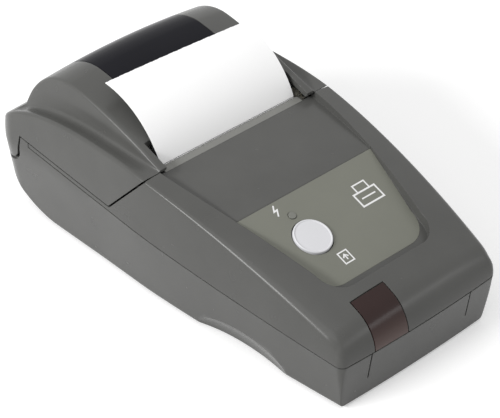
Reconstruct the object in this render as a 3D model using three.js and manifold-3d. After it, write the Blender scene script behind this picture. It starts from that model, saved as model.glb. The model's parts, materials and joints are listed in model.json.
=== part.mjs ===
// Portable thermal printer for narrow paper rolls, with a rear-hinged paper cover.
// Millimetres. +Z up, the front faces -Y, and the origin is under the middle of the case.
// Every outer surface is one lofted hull, and the case parts are cut from it along real seams.
import * as THREE from 'three';
import { mergeVertices } from 'three/addons/utils/BufferGeometryUtils.js';
import Module from 'manifold-3d';

const wasm = await Module();
wasm.setup();

// Clearances, and the overrun of every cut
const CLEARANCE = 0.3;
const FIT_GAP = 0.25;
const OVERRUN = 1;

// Paper and its roll, which set the width and the height of the whole case
const PAPER_WIDTH = 57.5;
const PAPER_SHEET = 0.3;
const ROLL_RADIUS = 21.5;
const ROLL_TRIM = 0.5;
const ROLL_WIDTH = PAPER_WIDTH - ROLL_TRIM;
const CORE_RADIUS = 8;
const CORE_WALL = 1.4;

// Batteries
const CELL_RADIUS = 7.25;
const CELL_LENGTH = 50.5;
const CELL_PITCH = 14.9;
const CELL_COUNT = 4;

// Rooms that follow each other along the case, from the nose to the rear end
const NOSE_ROOM = 13.8;
const CELL_TO_FRAME = 12;
const FRAME_TO_TEAR = 11;
const TEAR_SET = 4.8;
const COVER_TO_ROLL = 16.3;
const COVER_REACH = COVER_TO_ROLL + ROLL_RADIUS;
const ROLL_TO_HINGE = 10.5;
const HINGE_SET = 6.3;
const FRONT_LENGTH = NOSE_ROOM + CELL_LENGTH + CELL_TO_FRAME + FRAME_TO_TEAR - TEAR_SET;
const REAR_LENGTH = COVER_REACH + ROLL_RADIUS + ROLL_TO_HINGE + HINGE_SET;

// Case envelope
const CASE_LENGTH = FRONT_LENGTH + REAR_LENGTH;
const CASE_FRONT = -CASE_LENGTH / 2;
const CASE_REAR = CASE_LENGTH / 2;
const SIDE_ROOM = 12.25;
const WAIST_HALF_WIDTH = PAPER_WIDTH / 2 + SIDE_ROOM;
const CASE_BOTTOM = 0.8;
const WALL = 2;
const BOTTOM_CORNER = 1.6;
const FRONT_CORNER = 2.4;
const REAR_CORNER = 10;
const FRONT_TAPER = 7.1;
const TAPER_POWER = 1.4;
const LOWER_DRAFT_SHARE = 0.14;
const UPPER_DRAFT_SHARE = 0.042;

// Rear end: hinge axis, belly of the lower case, arch of the shoulders
const HINGE_Y = CASE_REAR - HINGE_SET;
const HINGE_HEIGHT = 28;
const KNUCKLE_RADIUS = 6.4;
const CRADLE_CLEARANCE = 0.8;
const BELLY_LENGTH = 20;
const BELLY_START = HINGE_Y - BELLY_LENGTH;
const SHOULDER_ARC_LENGTH = 43;
const SHOULDER_ARC_START = HINGE_Y - SHOULDER_ARC_LENGTH;
const REAR_STATIONS_LENGTH = 23;
const REAR_STATIONS_START = HINGE_Y - REAR_STATIONS_LENGTH;

// Place of the roll and its tray
const TRAY_GAP = 1.1;
const TRAY_WALL = 1.5;
const TRAY_CHEEK = 1.2;
const TRAY_SIDE_ROOM = 1.35;
const TRAY_HALF_WIDTH = PAPER_WIDTH / 2 + TRAY_SIDE_ROOM;
const TRAY_FRONT_DEGREES = -126;
const TRAY_REAR_DEGREES = -22;
const TRAY_OUTER_RADIUS = ROLL_RADIUS + TRAY_GAP + TRAY_WALL;
const BELLY_ROOM = 6.1;
const ROLL_HEIGHT = CASE_BOTTOM + WALL + BELLY_ROOM + TRAY_OUTER_RADIUS;
const ROLL_Y = HINGE_Y - ROLL_TO_HINGE - ROLL_RADIUS;

// Seam between the lower case and the front cover, rising to the rear
const SEAM_FRONT_HEIGHT = 18.1;
const SEAM_SLOPE_SHARE = 0.0925;
const SEAM_GAP = 0.3;
const FRONT_LEAN = 2.6;
const FRONT_BOW = 0.9;
const BOW_REACH = 45;
const NOSE_RADIUS = 7.2;
const END_CAP_HALF = 0.7;

// Shoulder ridge and the crown between the two ridges
const MECHANISM_ROOM = 47.4;
const RIDGE_TOP = CASE_BOTTOM + MECHANISM_ROOM;
const RIDGE_CREST_SET = 19;
const RIDGE_CREST_Y = ROLL_Y - RIDGE_CREST_SET;
const RIDGE_DROP = 23;
const RIDGE_POWER = 1.74;
const RIDGE_ROUND = 1.3;
const SIDE_BULGE = 0.35;
const EDGE_CROWN = 0.9;
const EDGE_CROWN_BASE = 0.4;
const FRONT_MID_CROWN = 0.4;

// Dome over the paper roll
const COVER_FRONT = ROLL_Y - COVER_REACH;
const DOME_ROOM = 4.4;
const DOME_TOP = ROLL_HEIGHT + ROLL_RADIUS + DOME_ROOM;
const DOME_RISE = 11.2;
const DOME_CREST_SET = 5.6;
const DOME_CREST_Y = ROLL_Y + DOME_CREST_SET;
const DOME_POWER = 1.38;
const DOME_REAR_RUN = 25.6;
const DOME_CROWN = 1.9;
const DOME_EDGE_SHARE = 0.825;
const VALLEY_STEP = 1;
const VALLEY_DIP = 0.7;
const DOME_WALL_REFERENCE = 4;

// Seam of the paper cover on the sides
const COVER_CORNER_RUN = 16.6;
const COVER_SIDE_CORNER_Y = COVER_FRONT + COVER_CORNER_RUN;
const RAIL_HEIGHT = 1.9;
const RAIL_TO_HINGE = 12.4;
const RAIL_REAR = HINGE_Y - RAIL_TO_HINGE;
const NOTCH_TO_HINGE = 8.1;
const NOTCH_Y = HINGE_Y - NOTCH_TO_HINGE;

// Tear edge and paper slot
const TEAR_Y = COVER_FRONT + TEAR_SET;
const TAPER_START = TEAR_Y;
const SLOT_LENGTH = 5.6;
const SLOT_REAR = TEAR_Y + SLOT_LENGTH;
const SLOT_SIDE_ROOM = 1.65;
const SLOT_HALF_WIDTH = PAPER_WIDTH / 2 + SLOT_SIDE_ROOM;

// Recess in the front cover and the two planes of its floor
const REAR_FLOOR_LENGTH = 34.4;
const RECESS_CREASE_Y = TEAR_Y - REAR_FLOOR_LENGTH;
const RECESS_DEPTH = 6;
const RECESS_CREASE_HEIGHT = RIDGE_TOP - RECESS_DEPTH;
const LABEL_SLOPE_DEGREES = 20;
const REAR_FLOOR_RISE = 2.9;
const RECESS_REAR_MARGIN = 7.6;
const RECESS_REAR_HALF_WIDTH = WAIST_HALF_WIDTH - RECESS_REAR_MARGIN;
const RECESS_FRONT_MARGIN = 9.5;
const RECESS_FRONT_HALF_WIDTH = WAIST_HALF_WIDTH - FRONT_TAPER - RECESS_FRONT_MARGIN;
const RECESS_SIDE_POWER = 1.9;
const RECESS_TO_NOSE = 16.1;
const RECESS_FRONT_Y = CASE_FRONT + RECESS_TO_NOSE;
const RECESS_CORNER = 9;
const RECESS_WALL_SHARE = 0.3;
const RECESS_BAND = 5;
const LABEL_THICKNESS = 0.4;
const TEAR_PROUD = 0.3;
const TEAR_HEIGHT = RECESS_CREASE_HEIGHT + REAR_FLOOR_RISE + TEAR_PROUD;
const SLOT_DEPTH = 2.4;
const SLOT_FLOOR = TEAR_HEIGHT - SLOT_DEPTH;
const TEAR_BAR_DEPTH = 2.6;
const TEAR_BAR_THICKNESS = 1;
const TEAR_TOOTH = 0.45;
const TEAR_TOOTH_COUNT = 30;

// Print mechanism
const PLATEN_RADIUS = 4.2;
const PLATEN_SIDE_ROOM = 0.15;
const PLATEN_HALF_WIDTH = PAPER_WIDTH / 2 + PLATEN_SIDE_ROOM;
const SHAFT_RADIUS = 1.5;
const PLATEN_Y = TEAR_Y + PAPER_SHEET / 2 + CLEARANCE + PLATEN_RADIUS;
const PLATEN_UNDER_TEAR = 6.4;
const PLATEN_HEIGHT = TEAR_HEIGHT - PLATEN_UNDER_TEAR;
const ARM_INNER = PLATEN_HALF_WIDTH + CLEARANCE;
const ARM_THICKNESS = 1.4;
const FRAME_PLATE = 1.2;
const FRAME_INNER = ARM_INNER + ARM_THICKNESS + CLEARANCE;
const BUSH_RADIUS = 3.2;
const MODULE = 0.5;
const GEAR_WIDTH = 2;
const GEAR_GAP = 0.4;
const CENTRE_EXTRA = 0.2;
const AXLE_RADIUS = 1;
const MOTOR_RADIUS = 7.5;
const MOTOR_LENGTH = 13;
const FRAME_FRONT = TEAR_Y - FRAME_TO_TEAR;

// Battery well
const CELL_REAR = FRAME_FRONT - CELL_TO_FRAME;
const DOOR_THICKNESS = 1.8;
const WELL_WALL = 1.5;

// Window for the infrared link and window over the roll
const LINK_WINDOW_X = -13.4;
const LINK_WINDOW_WIDTH = 13.6;
const LINK_WINDOW_LEFT = LINK_WINDOW_X - LINK_WINDOW_WIDTH / 2;
const LINK_WINDOW_RIGHT = LINK_WINDOW_X + LINK_WINDOW_WIDTH / 2;
const LINK_WINDOW_DEPTH = 11.3;
const LINK_WINDOW_REAR = CASE_FRONT + LINK_WINDOW_DEPTH;
const WINDOW_THICKNESS = 1.6;
const ROLL_WINDOW_SIDE_SET = 7.75;
const ROLL_WINDOW_HALF_WIDTH = PAPER_WIDTH / 2 - ROLL_WINDOW_SIDE_SET;
const ROLL_WINDOW_TO_AXIS = 10;
const ROLL_WINDOW_FRONT = ROLL_Y - ROLL_WINDOW_TO_AXIS;
const ROLL_WINDOW_TO_HINGE = 7;
const ROLL_WINDOW_REAR = HINGE_Y - ROLL_WINDOW_TO_HINGE;

// Button and indicator light, measured down the label plane from its crease
const BUTTON_X = -11.5;
const BUTTON_DOWN = 17.2;
const BUTTON_RADIUS = 6.4;
const BUTTON_TRAVEL = 0.5;
const BUTTON_PROUD = 1.1;
const LIGHT_X = -11.6;
const LIGHT_DOWN = 7.6;
const LIGHT_RADIUS = 1.3;

// Fasteners and feet
const SCREW_RADIUS = 1.1;
const SCREW_HEAD_RADIUS = 2;
const SCREW_HEAD_HEIGHT = 1.6;
const BOSS_RADIUS = 2.9;

const DEGREE = Math.PI / 180;
const FULL_TURN = Math.PI * 2;
const MERGE_TOLERANCE = 1e-4;
const model = new THREE.Group();

// Colours read from the photograph
const CASE_FINISH = { color: 0x6b6b68, roughness: 0.62, metalness: 0 };
const STEEL = { color: 0xb9bcc0, roughness: 0.35, metalness: 0.9 };
const BRASS = { color: 0xc9a75a, roughness: 0.35, metalness: 0.9 };
const DARK_PLASTIC = { color: 0x24262a, roughness: 0.5, metalness: 0 };
const PAPER_FINISH = { color: 0xfbfbfb, roughness: 0.9, metalness: 0 };
const BOARD_GREEN = { color: 0x1f5b3a, roughness: 0.5, metalness: 0 };

const clamp01 = (value) => Math.min(Math.max(value, 0), 1);
const mix = (a, b, share) => a + (b - a) * share;
const span = (count) => Array.from({ length: count }, (_, index) => index);

// A closed three.js geometry as a solid that can be joined and cut
function solid(geometry) {
  const bare = geometry.index ? geometry.toNonIndexed() : geometry.clone();
  bare.deleteAttribute('normal');
  bare.deleteAttribute('uv');
  const merged = mergeVertices(bare, MERGE_TOLERANCE);
  const mesh = new wasm.Mesh({
    numProp: 3,
    vertProperties: new Float32Array(merged.attributes.position.array),
    triVerts: new Uint32Array(merged.index.array),
  });
  mesh.merge();
  return new wasm.Manifold(mesh);
}

function geometryOf(body) {
  const mesh = body.getMesh();
  const geometry = new THREE.BufferGeometry();
  geometry.setAttribute('position', new THREE.BufferAttribute(mesh.vertProperties, 3));
  geometry.setIndex(new THREE.BufferAttribute(mesh.triVerts, 1));
  geometry.computeVertexNormals();
  return geometry;
}

const joined = (first, ...rest) => rest.reduce((whole, piece) => whole.add(piece), first);
const cutBy = (first, ...rest) => rest.reduce((whole, piece) => whole.subtract(piece), first);

function addPart(name, body, finish, parent = model) {
  const geometry = body.isBufferGeometry ? body : geometryOf(body);
  const mesh = new THREE.Mesh(geometry, new THREE.MeshStandardMaterial(finish));
  mesh.name = name;
  parent.add(mesh);
  return mesh;
}

// Block between two corners
function block(x0, x1, y0, y1, z0, z1) {
  const geometry = new THREE.BoxGeometry(x1 - x0, y1 - y0, z1 - z0);
  geometry.translate((x0 + x1) / 2, (y0 + y1) / 2, (z0 + z1) / 2);
  return solid(geometry);
}

// Outline given as [y, z] points, extruded along X between two planes
function slabAlongX(points, x0, x1, holes = []) {
  const shape = new THREE.Shape(points.map(([y, z]) => new THREE.Vector2(y, z)));
  shape.holes = holes.map((hole) => new THREE.Path(hole.map(([y, z]) => new THREE.Vector2(y, z))));
  const geometry = new THREE.ExtrudeGeometry(shape, { depth: x1 - x0, bevelEnabled: false });
  const turn = new THREE.Matrix4().makeBasis(
    new THREE.Vector3(0, 1, 0),
    new THREE.Vector3(0, 0, 1),
    new THREE.Vector3(1, 0, 0),
  );
  geometry.applyMatrix4(turn);
  geometry.translate(x0, 0, 0);
  return solid(geometry);
}

function rodAlongX(radius, x0, x1, y, z, sides = 32) {
  const geometry = new THREE.CylinderGeometry(radius, radius, x1 - x0, sides);
  geometry.rotateZ(Math.PI / 2);
  geometry.translate((x0 + x1) / 2, y, z);
  return solid(geometry);
}

function rodAlongY(radius, y0, y1, x, z, sides = 24) {
  const geometry = new THREE.CylinderGeometry(radius, radius, y1 - y0, sides);
  geometry.translate(x, (y0 + y1) / 2, z);
  return solid(geometry);
}

function rodAlongZ(radius, z0, z1, x, y, sides = 24) {
  const geometry = new THREE.CylinderGeometry(radius, radius, z1 - z0, sides);
  geometry.rotateX(Math.PI / 2);
  geometry.translate(x, y, (z0 + z1) / 2);
  return solid(geometry);
}

function arcPoints(y, z, radius, fromDegrees, toDegrees, steps) {
  return span(steps + 1).map((index) => {
    const angle = mix(fromDegrees, toDegrees, index / steps) * DEGREE;
    return [y + radius * Math.cos(angle), z + radius * Math.sin(angle)];
  });
}

// Skin over a row of equal rings, closed by a flat cap at each end
function loft(rings, plan = ([x, , z]) => [x, z]) {
  const count = rings[0].length;
  const positions = rings.flat(2);
  const faces = [];
  for (let ring = 0; ring < rings.length - 1; ring += 1) {
    for (let index = 0; index < count; index += 1) {
      const next = (index + 1) % count;
      const a = ring * count + index;
      const b = ring * count + next;
      faces.push([a, b, b + count], [a, b + count, a + count]);
    }
  }
  const firstCap = capFaces(rings[0].map(plan));
  const lastCap = capFaces(rings[rings.length - 1].map(plan));
  const lastStart = (rings.length - 1) * count;
  faces.push(...firstCap.map(([a, b, c]) => [c, b, a]));
  faces.push(...lastCap.map(([a, b, c]) => [lastStart + a, lastStart + b, lastStart + c]));
  return orientedSolid(positions, faces);
}

// Triangles of a flat outline, all turned the way the outline runs
function capFaces(outline) {
  const points = outline.map(([u, v]) => new THREE.Vector2(u, v));
  const forward = !THREE.ShapeUtils.isClockWise(points);
  const triangles = THREE.ShapeUtils.triangulateShape(points, []);
  return triangles.map(([a, b, c]) => {
    const area = (points[b].x - points[a].x) * (points[c].y - points[a].y)
      - (points[c].x - points[a].x) * (points[b].y - points[a].y);
    return (area > 0) === forward ? [a, b, c] : [a, c, b];
  });
}

function orientedSolid(positions, faces) {
  const at = (index) => new THREE.Vector3().fromArray(positions, index * 3);
  const volume = faces.reduce((sum, [a, b, c]) => sum + at(a).dot(at(b).cross(at(c))), 0);
  const ordered = volume > 0 ? faces : faces.map(([a, b, c]) => [a, c, b]);
  const geometry = new THREE.BufferGeometry();
  geometry.setAttribute('position', new THREE.Float32BufferAttribute(positions, 3));
  geometry.setIndex(ordered.flat());
  return solid(geometry);
}

// How far a quarter round has fallen away at a given reach past its start
function roundDrop(radius, reach) {
  const positive = Math.max(radius, 0);
  return positive - Math.sqrt(Math.max(positive ** 2 - reach ** 2, 0));
}

function seamHeight(y) {
  return SEAM_FRONT_HEIGHT + SEAM_SLOPE_SHARE * (y - CASE_FRONT);
}

function waistHeight(y) {
  return Math.min(seamHeight(y), HINGE_HEIGHT);
}

function waistHalfWidth(y, inset) {
  const taperShare = clamp01((TAPER_START - y) / (TAPER_START - CASE_FRONT));
  const rearReach = Math.max(y - (CASE_REAR - REAR_CORNER), 0);
  const frontReach = Math.max(CASE_FRONT + FRONT_CORNER - y, 0);
  return WAIST_HALF_WIDTH - FRONT_TAPER * taperShare ** TAPER_POWER - inset
    - roundDrop(REAR_CORNER - inset, rearReach)
    - roundDrop(FRONT_CORNER - inset, frontReach);
}

// Underside: a leaning front face, a flat bottom, and a belly that curves up to the hinge
function bottomHeight(y, inset) {
  const bottom = CASE_BOTTOM + inset;
  const leanShare = clamp01((CASE_FRONT + inset + FRONT_LEAN - y) / FRONT_LEAN);
  const reachShare = clamp01((y - BELLY_START) / (CASE_REAR - inset - BELLY_START));
  const belly = HINGE_HEIGHT - (HINGE_HEIGHT - bottom) * Math.sqrt(1 - reachShare ** 2);
  const lean = leanShare * (SEAM_FRONT_HEIGHT - END_CAP_HALF - bottom);
  return Math.min(belly + lean, HINGE_HEIGHT - END_CAP_HALF);
}

// Height of the shoulder ridge along the case
function ridgeHeight(y, inset) {
  if (y > SHOULDER_ARC_START) {
    const reachShare = clamp01((y - SHOULDER_ARC_START) / (CASE_REAR - inset - SHOULDER_ARC_START));
    const rise = (RIDGE_TOP - inset - HINGE_HEIGHT) * Math.sqrt(1 - reachShare ** 2);
    return HINGE_HEIGHT + Math.max(rise, END_CAP_HALF);
  }
  const dropShare = clamp01((RIDGE_CREST_Y - y) / (RIDGE_CREST_Y - CASE_FRONT));
  const noseReach = Math.max(CASE_FRONT + NOSE_RADIUS - y, 0);
  const height = RIDGE_TOP - RIDGE_DROP * dropShare ** RIDGE_POWER - inset
    - roundDrop(NOSE_RADIUS - inset, noseReach);
  return Math.max(height, SEAM_FRONT_HEIGHT + END_CAP_HALF);
}

// Rise of the surface from the ridge to the line where the dome edge runs
const CROWN_START_SHARE = 0.1;
function edgeCrown(y) {
  const share = clamp01((y - CASE_FRONT) / (COVER_FRONT - CASE_FRONT));
  return EDGE_CROWN_BASE * clamp01(share / CROWN_START_SHARE) + EDGE_CROWN * Math.sin(Math.PI * share);
}

function domeEdgeHeight(y, inset) {
  const low = ridgeHeight(y, inset) + edgeCrown(y);
  if (y < COVER_FRONT) return low;
  const frontShare = clamp01((DOME_CREST_Y - y) / (DOME_CREST_Y - COVER_FRONT));
  const rearShare = clamp01((y - DOME_CREST_Y) / DOME_REAR_RUN);
  const front = DOME_TOP - DOME_RISE * frontShare ** DOME_POWER;
  const rear = HINGE_HEIGHT + (DOME_TOP - HINGE_HEIGHT) * Math.sqrt(1 - rearShare ** 2);
  return Math.max((y < DOME_CREST_Y ? front : rear) - inset, low);
}

// Cross-section of the whole case at one station, bottom centre to top centre and round again
function hullRing(y, inset) {
  const bottom = bottomHeight(y, inset);
  const waist = waistHeight(y);
  const waistX = waistHalfWidth(y, inset);
  const ridge = ridgeHeight(y, inset);
  const edge = domeEdgeHeight(y, inset);
  const wallShare = clamp01((edge - ridge) / DOME_WALL_REFERENCE);
  const bottomX = waistX - LOWER_DRAFT_SHARE * (waist - bottom);
  const bottomRound = Math.min(BOTTOM_CORNER, (waist - bottom) / 2);
  const ridgeX = waistX - UPPER_DRAFT_SHARE * (ridge - waist);
  const ridgeRound = Math.min(RIDGE_ROUND, (ridge - waist) / 2);
  const edgeX = DOME_EDGE_SHARE * (ridgeX + inset) - inset;
  const valleyX = edgeX + VALLEY_STEP;
  const valley = mix(ridge + edgeCrown(y) / 2, ridge - VALLEY_DIP, wallShare);
  const topRise = mix(FRONT_MID_CROWN, DOME_CROWN, wallShare) * clamp01((ridge - waist) / NOSE_RADIUS);
  const bulge = SIDE_BULGE * clamp01((ridge - waist) / NOSE_RADIUS);
  const diagonal = Math.SQRT1_2;
  const outerOnly = (...points) => (inset > 0 ? [] : points);
  const crown = (share) => [edgeX * share, edge + topRise * (1 - share ** 2)];
  const half = [
    [0, bottom],
    [bottomX - bottomRound, bottom],
    ...outerOnly([bottomX - bottomRound * (1 - diagonal), bottom + bottomRound * (1 - diagonal)]),
    [bottomX, bottom + bottomRound],
    [waistX, waist],
    ...outerOnly([mix(waistX, ridgeX, 0.5) + bulge / 2, mix(waist, ridge, 0.5)]),
    [ridgeX, ridge - ridgeRound],
    ...outerOnly([ridgeX - ridgeRound * (1 - diagonal), ridge - ridgeRound * (1 - diagonal)]),
    [ridgeX - ridgeRound, ridge],
    ...outerOnly([mix(valleyX, ridgeX, 0.3), mix(valley, ridge, 0.12)]),
    [valleyX, mix(valley, edge, 0.05)],
    ...outerOnly([mix(edgeX, valleyX, 0.4), mix(valley, edge, 0.3)]),
    [edgeX, edge],
    ...outerOnly(crown(0.86)),
    crown(0.62),
    ...outerOnly(crown(0.34)),
    crown(0),
  ];
  const other = half.slice(1, -1).reverse().map(([x, z]) => [-x, z]);
  const bowShare = clamp01((CASE_FRONT + BOW_REACH - y) / BOW_REACH) ** 2;
  return [...half, ...other].map(([x, z]) => [x, y + FRONT_BOW * bowShare * (x / waistX) ** 2, z]);
}

// Stations along the case, close together where the nose and the rear end curve
const NOSE_STEPS = 6;
const FRONT_STEPS = 7;
const COVER_STEPS = 8;
const REAR_STEPS = 9;
function hullStations(inset, detail) {
  const front = CASE_FRONT + inset;
  const rear = CASE_REAR - inset;
  const noseEnd = CASE_FRONT + NOSE_RADIUS * 1.2;
  const noseSteps = Math.round(NOSE_STEPS * detail);
  const frontSteps = Math.round(FRONT_STEPS * detail);
  const coverSteps = Math.round(COVER_STEPS * detail);
  const rearSteps = Math.round(REAR_STEPS * detail);
  return [
    ...span(noseSteps).map((k) => mix(front, noseEnd, 1 - Math.cos((k / noseSteps) * (Math.PI / 2)))),
    ...span(frontSteps).map((k) => mix(noseEnd, COVER_FRONT, k / frontSteps)),
    ...span(coverSteps).map((k) => mix(COVER_FRONT, REAR_STATIONS_START, k / coverSteps)),
    ...span(rearSteps + 1).map((k) => (
      mix(REAR_STATIONS_START, rear, Math.sin((k / rearSteps) * (Math.PI / 2)))
    )),
  ];
}

function hull(inset, detail) {
  return loft(hullStations(inset, detail).map((y) => hullRing(y, inset)));
}

const INNER_DETAIL = 0.55;
const outerHull = hull(0, 1);
const innerHull = hull(WALL, INNER_DETAIL);
const FAR = CASE_LENGTH;
const SKY = DOME_TOP * 1.5;
const coverSideEdge = (y) => seamHeight(y) + RAIL_HEIGHT;

const KNUCKLE_TANGENT_DEGREES = 196;
const KNUCKLE_SEAM_DEGREES = 338;

// Side view of everything that belongs to the paper cover. A growth widens it for its neighbours.
function coverOutline(growth, knuckleRadius) {
  const topOfFront = ridgeHeight(COVER_FRONT, 0);
  const end = KNUCKLE_SEAM_DEGREES - growth / knuckleRadius / DEGREE;
  const reach = knuckleRadius * 2;
  return [
    [COVER_FRONT - growth, SKY],
    [COVER_FRONT - growth, topOfFront - growth],
    [COVER_SIDE_CORNER_Y - growth, coverSideEdge(COVER_SIDE_CORNER_Y) - growth],
    [NOTCH_Y - growth, coverSideEdge(NOTCH_Y) - growth],
    ...arcPoints(HINGE_Y, HINGE_HEIGHT, knuckleRadius, KNUCKLE_TANGENT_DEGREES, end, 12),
    [HINGE_Y + reach * Math.cos(end * DEGREE), HINGE_HEIGHT + reach * Math.sin(end * DEGREE)],
    [FAR, HINGE_HEIGHT + reach * Math.sin(end * DEGREE)],
    [FAR, SKY],
  ];
}

const coverRegion = slabAlongX(coverOutline(0, KNUCKLE_RADIUS), -FAR, FAR);
const coverRegionGrown = slabAlongX(
  coverOutline(SEAM_GAP, KNUCKLE_RADIUS + CRADLE_CLEARANCE),
  -FAR,
  FAR,
);

// Lower region: under the seam, with a horn at the rear that meets the cover
const lowerRegion = slabAlongX([
  [-FAR, -FAR],
  [FAR, -FAR],
  [FAR, coverSideEdge(RAIL_REAR) + RAIL_HEIGHT],
  [RAIL_REAR, coverSideEdge(RAIL_REAR) + RAIL_HEIGHT],
  [RAIL_REAR, seamHeight(RAIL_REAR) - SEAM_GAP / 2],
  [-FAR, seamHeight(-FAR) - SEAM_GAP / 2],
], -FAR, FAR);

const upperRegion = slabAlongX([
  [-FAR, seamHeight(-FAR) + SEAM_GAP / 2],
  [RAIL_REAR - SEAM_GAP, seamHeight(RAIL_REAR - SEAM_GAP) + SEAM_GAP / 2],
  [RAIL_REAR - SEAM_GAP, SKY],
  [-FAR, SKY],
], -FAR, FAR);

// Finger scoop in the lower side wall, an ellipsoid that leaves an arched edge
const SCOOP_OUT = 0.4;
const SCOOP_X = WAIST_HALF_WIDTH + SCOOP_OUT;
const SCOOP_TO_NOSE = 39.3;
const SCOOP_Y = CASE_FRONT + SCOOP_TO_NOSE;
const SCOOP_DEPTH_RADIUS = 10;
const SCOOP_LENGTH_RADIUS = 31;
const SCOOP_HEIGHT_RADIUS = 17.5;
const SCOOP_BELOW = 5.5;
const SCOOP_SEGMENTS = 20;
function scoops(growth) {
  const pair = [-1, 1].map((side) => {
    const geometry = new THREE.SphereGeometry(1, SCOOP_SEGMENTS, SCOOP_SEGMENTS / 2);
    geometry.scale(SCOOP_DEPTH_RADIUS + growth, SCOOP_LENGTH_RADIUS + growth, SCOOP_HEIGHT_RADIUS + growth);
    geometry.translate(side * SCOOP_X, SCOOP_Y, -SCOOP_BELOW);
    return solid(geometry);
  });
  return joined(...pair);
}

// Battery well
const CELL_AXIS_HEIGHT = CASE_BOTTOM + DOOR_THICKNESS + CLEARANCE + CELL_RADIUS + CLEARANCE;
const CELL_FRONT = CELL_REAR - CELL_LENGTH;
const CONTACT_SPACE = 2.6;
const WELL_HALF_WIDTH = (CELL_PITCH * CELL_COUNT) / 2 + CLEARANCE;
const WELL_FRONT = CELL_FRONT - CONTACT_SPACE;
const WELL_REAR = CELL_REAR + CONTACT_SPACE;
const WELL_CEILING = CELL_AXIS_HEIGHT + CELL_RADIUS + CLEARANCE;
const WELL_TOP = WELL_CEILING + WELL_WALL;
const DOOR_MARGIN = 0.6;
const DOOR_HALF_WIDTH = WELL_HALF_WIDTH - DOOR_MARGIN;
const DOOR_FRONT = WELL_FRONT + DOOR_MARGIN;
const DOOR_TOP = CASE_BOTTOM + DOOR_THICKNESS;
const DOOR_BARREL_RADIUS = 1.5;
const DOOR_BARREL_ROOM = 2.05;
const DOOR_PIN_RADIUS = 0.7;
const DOOR_PIN_LENGTH = 1.3;
const DOOR_AXIS_Y = WELL_REAR - DOOR_BARREL_RADIUS + CLEARANCE;
const DOOR_AXIS_HEIGHT = CASE_BOTTOM + DOOR_BARREL_RADIUS;

// Hinge of the paper cover: base knuckles inside cover lugs
const LUG_INNER = SLOT_HALF_WIDTH;
const KNUCKLE_LENGTH = 5.4;
const BASE_KNUCKLE_OUTER = LUG_INNER - CLEARANCE * 2;
const BASE_KNUCKLE_INNER = BASE_KNUCKLE_OUTER - KNUCKLE_LENGTH;
const HINGE_PIN_RADIUS = 1.5;
const HINGE_PIN_REACH = 4.6;
const HINGE_PIN_OUTER = LUG_INNER + HINGE_PIN_REACH;
const NECK_FROM_DEGREES = -150;
const NECK_TO_DEGREES = -98;
const NECK_REACH = 24;

function baseKnuckle(inner, outer) {
  const neck = [
    [HINGE_Y, HINGE_HEIGHT],
    ...arcPoints(HINGE_Y, HINGE_HEIGHT, NECK_REACH, NECK_FROM_DEGREES, NECK_TO_DEGREES, 4),
  ];
  const trayRoom = TRAY_OUTER_RADIUS + CLEARANCE;
  return joined(
    rodAlongX(KNUCKLE_RADIUS - CLEARANCE, inner, outer, HINGE_Y, HINGE_HEIGHT, 20),
    slabAlongX(neck, inner, outer).subtract(rodAlongX(trayRoom, inner, outer, ROLL_Y, ROLL_HEIGHT, 48)),
  ).intersect(outerHull);
}

function baseKnuckles() {
  const blind = BASE_KNUCKLE_INNER + ARM_THICKNESS;
  const bore = HINGE_PIN_RADIUS + CLEARANCE;
  return cutBy(
    joined(
      baseKnuckle(BASE_KNUCKLE_INNER, BASE_KNUCKLE_OUTER),
      baseKnuckle(-BASE_KNUCKLE_OUTER, -BASE_KNUCKLE_INNER),
    ),
    rodAlongX(bore, blind, HINGE_PIN_OUTER, HINGE_Y, HINGE_HEIGHT, 16),
    rodAlongX(bore, -HINGE_PIN_OUTER, -blind, HINGE_Y, HINGE_HEIGHT, 16),
  );
}

// Places of the case screws and of the feet
const SCREW_FRONT_MARGIN = 8;
const SCREW_FRONT_X = WAIST_HALF_WIDTH - SCREW_FRONT_MARGIN;
const SCREW_TO_FRAME = 3.8;
const SCREW_FRONT_Y = FRAME_FRONT - SCREW_TO_FRAME;
const SCREW_REAR_MARGIN = 7.7;
const SCREW_REAR_X = WAIST_HALF_WIDTH - SCREW_REAR_MARGIN;
const SCREW_TO_AXIS = 10;
const SCREW_REAR_Y = ROLL_Y - SCREW_TO_AXIS;
const SCREW_PLACES = [
  [-1, SCREW_FRONT_X, SCREW_FRONT_Y],
  [1, SCREW_FRONT_X, SCREW_FRONT_Y],
  [-1, SCREW_REAR_X, SCREW_REAR_Y],
  [1, SCREW_REAR_X, SCREW_REAR_Y],
];
const BOSS_UNDER_SEAM = 3.1;
const SCREW_BOSS_TOP = SEAM_FRONT_HEIGHT - BOSS_UNDER_SEAM;
const SCREW_SINK = 2.4;
const SCREW_SEAT = CASE_BOTTOM + SCREW_SINK;
const FOOT_RADIUS = 2.6;
const REAR_FOOT_RADIUS = 4;
const FOOT_SUNK = 0.9;
const FRONT_FOOT_MARGIN = 17;
const FRONT_FOOT_X = WAIST_HALF_WIDTH - FRONT_FOOT_MARGIN;
const FRONT_FOOT_SET = 7.3;
const FRONT_FOOT_Y = CASE_FRONT + FRONT_FOOT_SET;
const REAR_FOOT_MARGIN = 14;
const REAR_FOOT_X = WAIST_HALF_WIDTH - REAR_FOOT_MARGIN;
const REAR_FOOT_SET = 3;
const REAR_FOOT_Y = ROLL_Y + REAR_FOOT_SET;
const FOOT_PLACES = [
  [-FRONT_FOOT_X, FRONT_FOOT_Y, FOOT_RADIUS],
  [FRONT_FOOT_X, FRONT_FOOT_Y, FOOT_RADIUS],
  [-REAR_FOOT_X, REAR_FOOT_Y, REAR_FOOT_RADIUS],
  [REAR_FOOT_X, REAR_FOOT_Y, REAR_FOOT_RADIUS],
];

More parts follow.
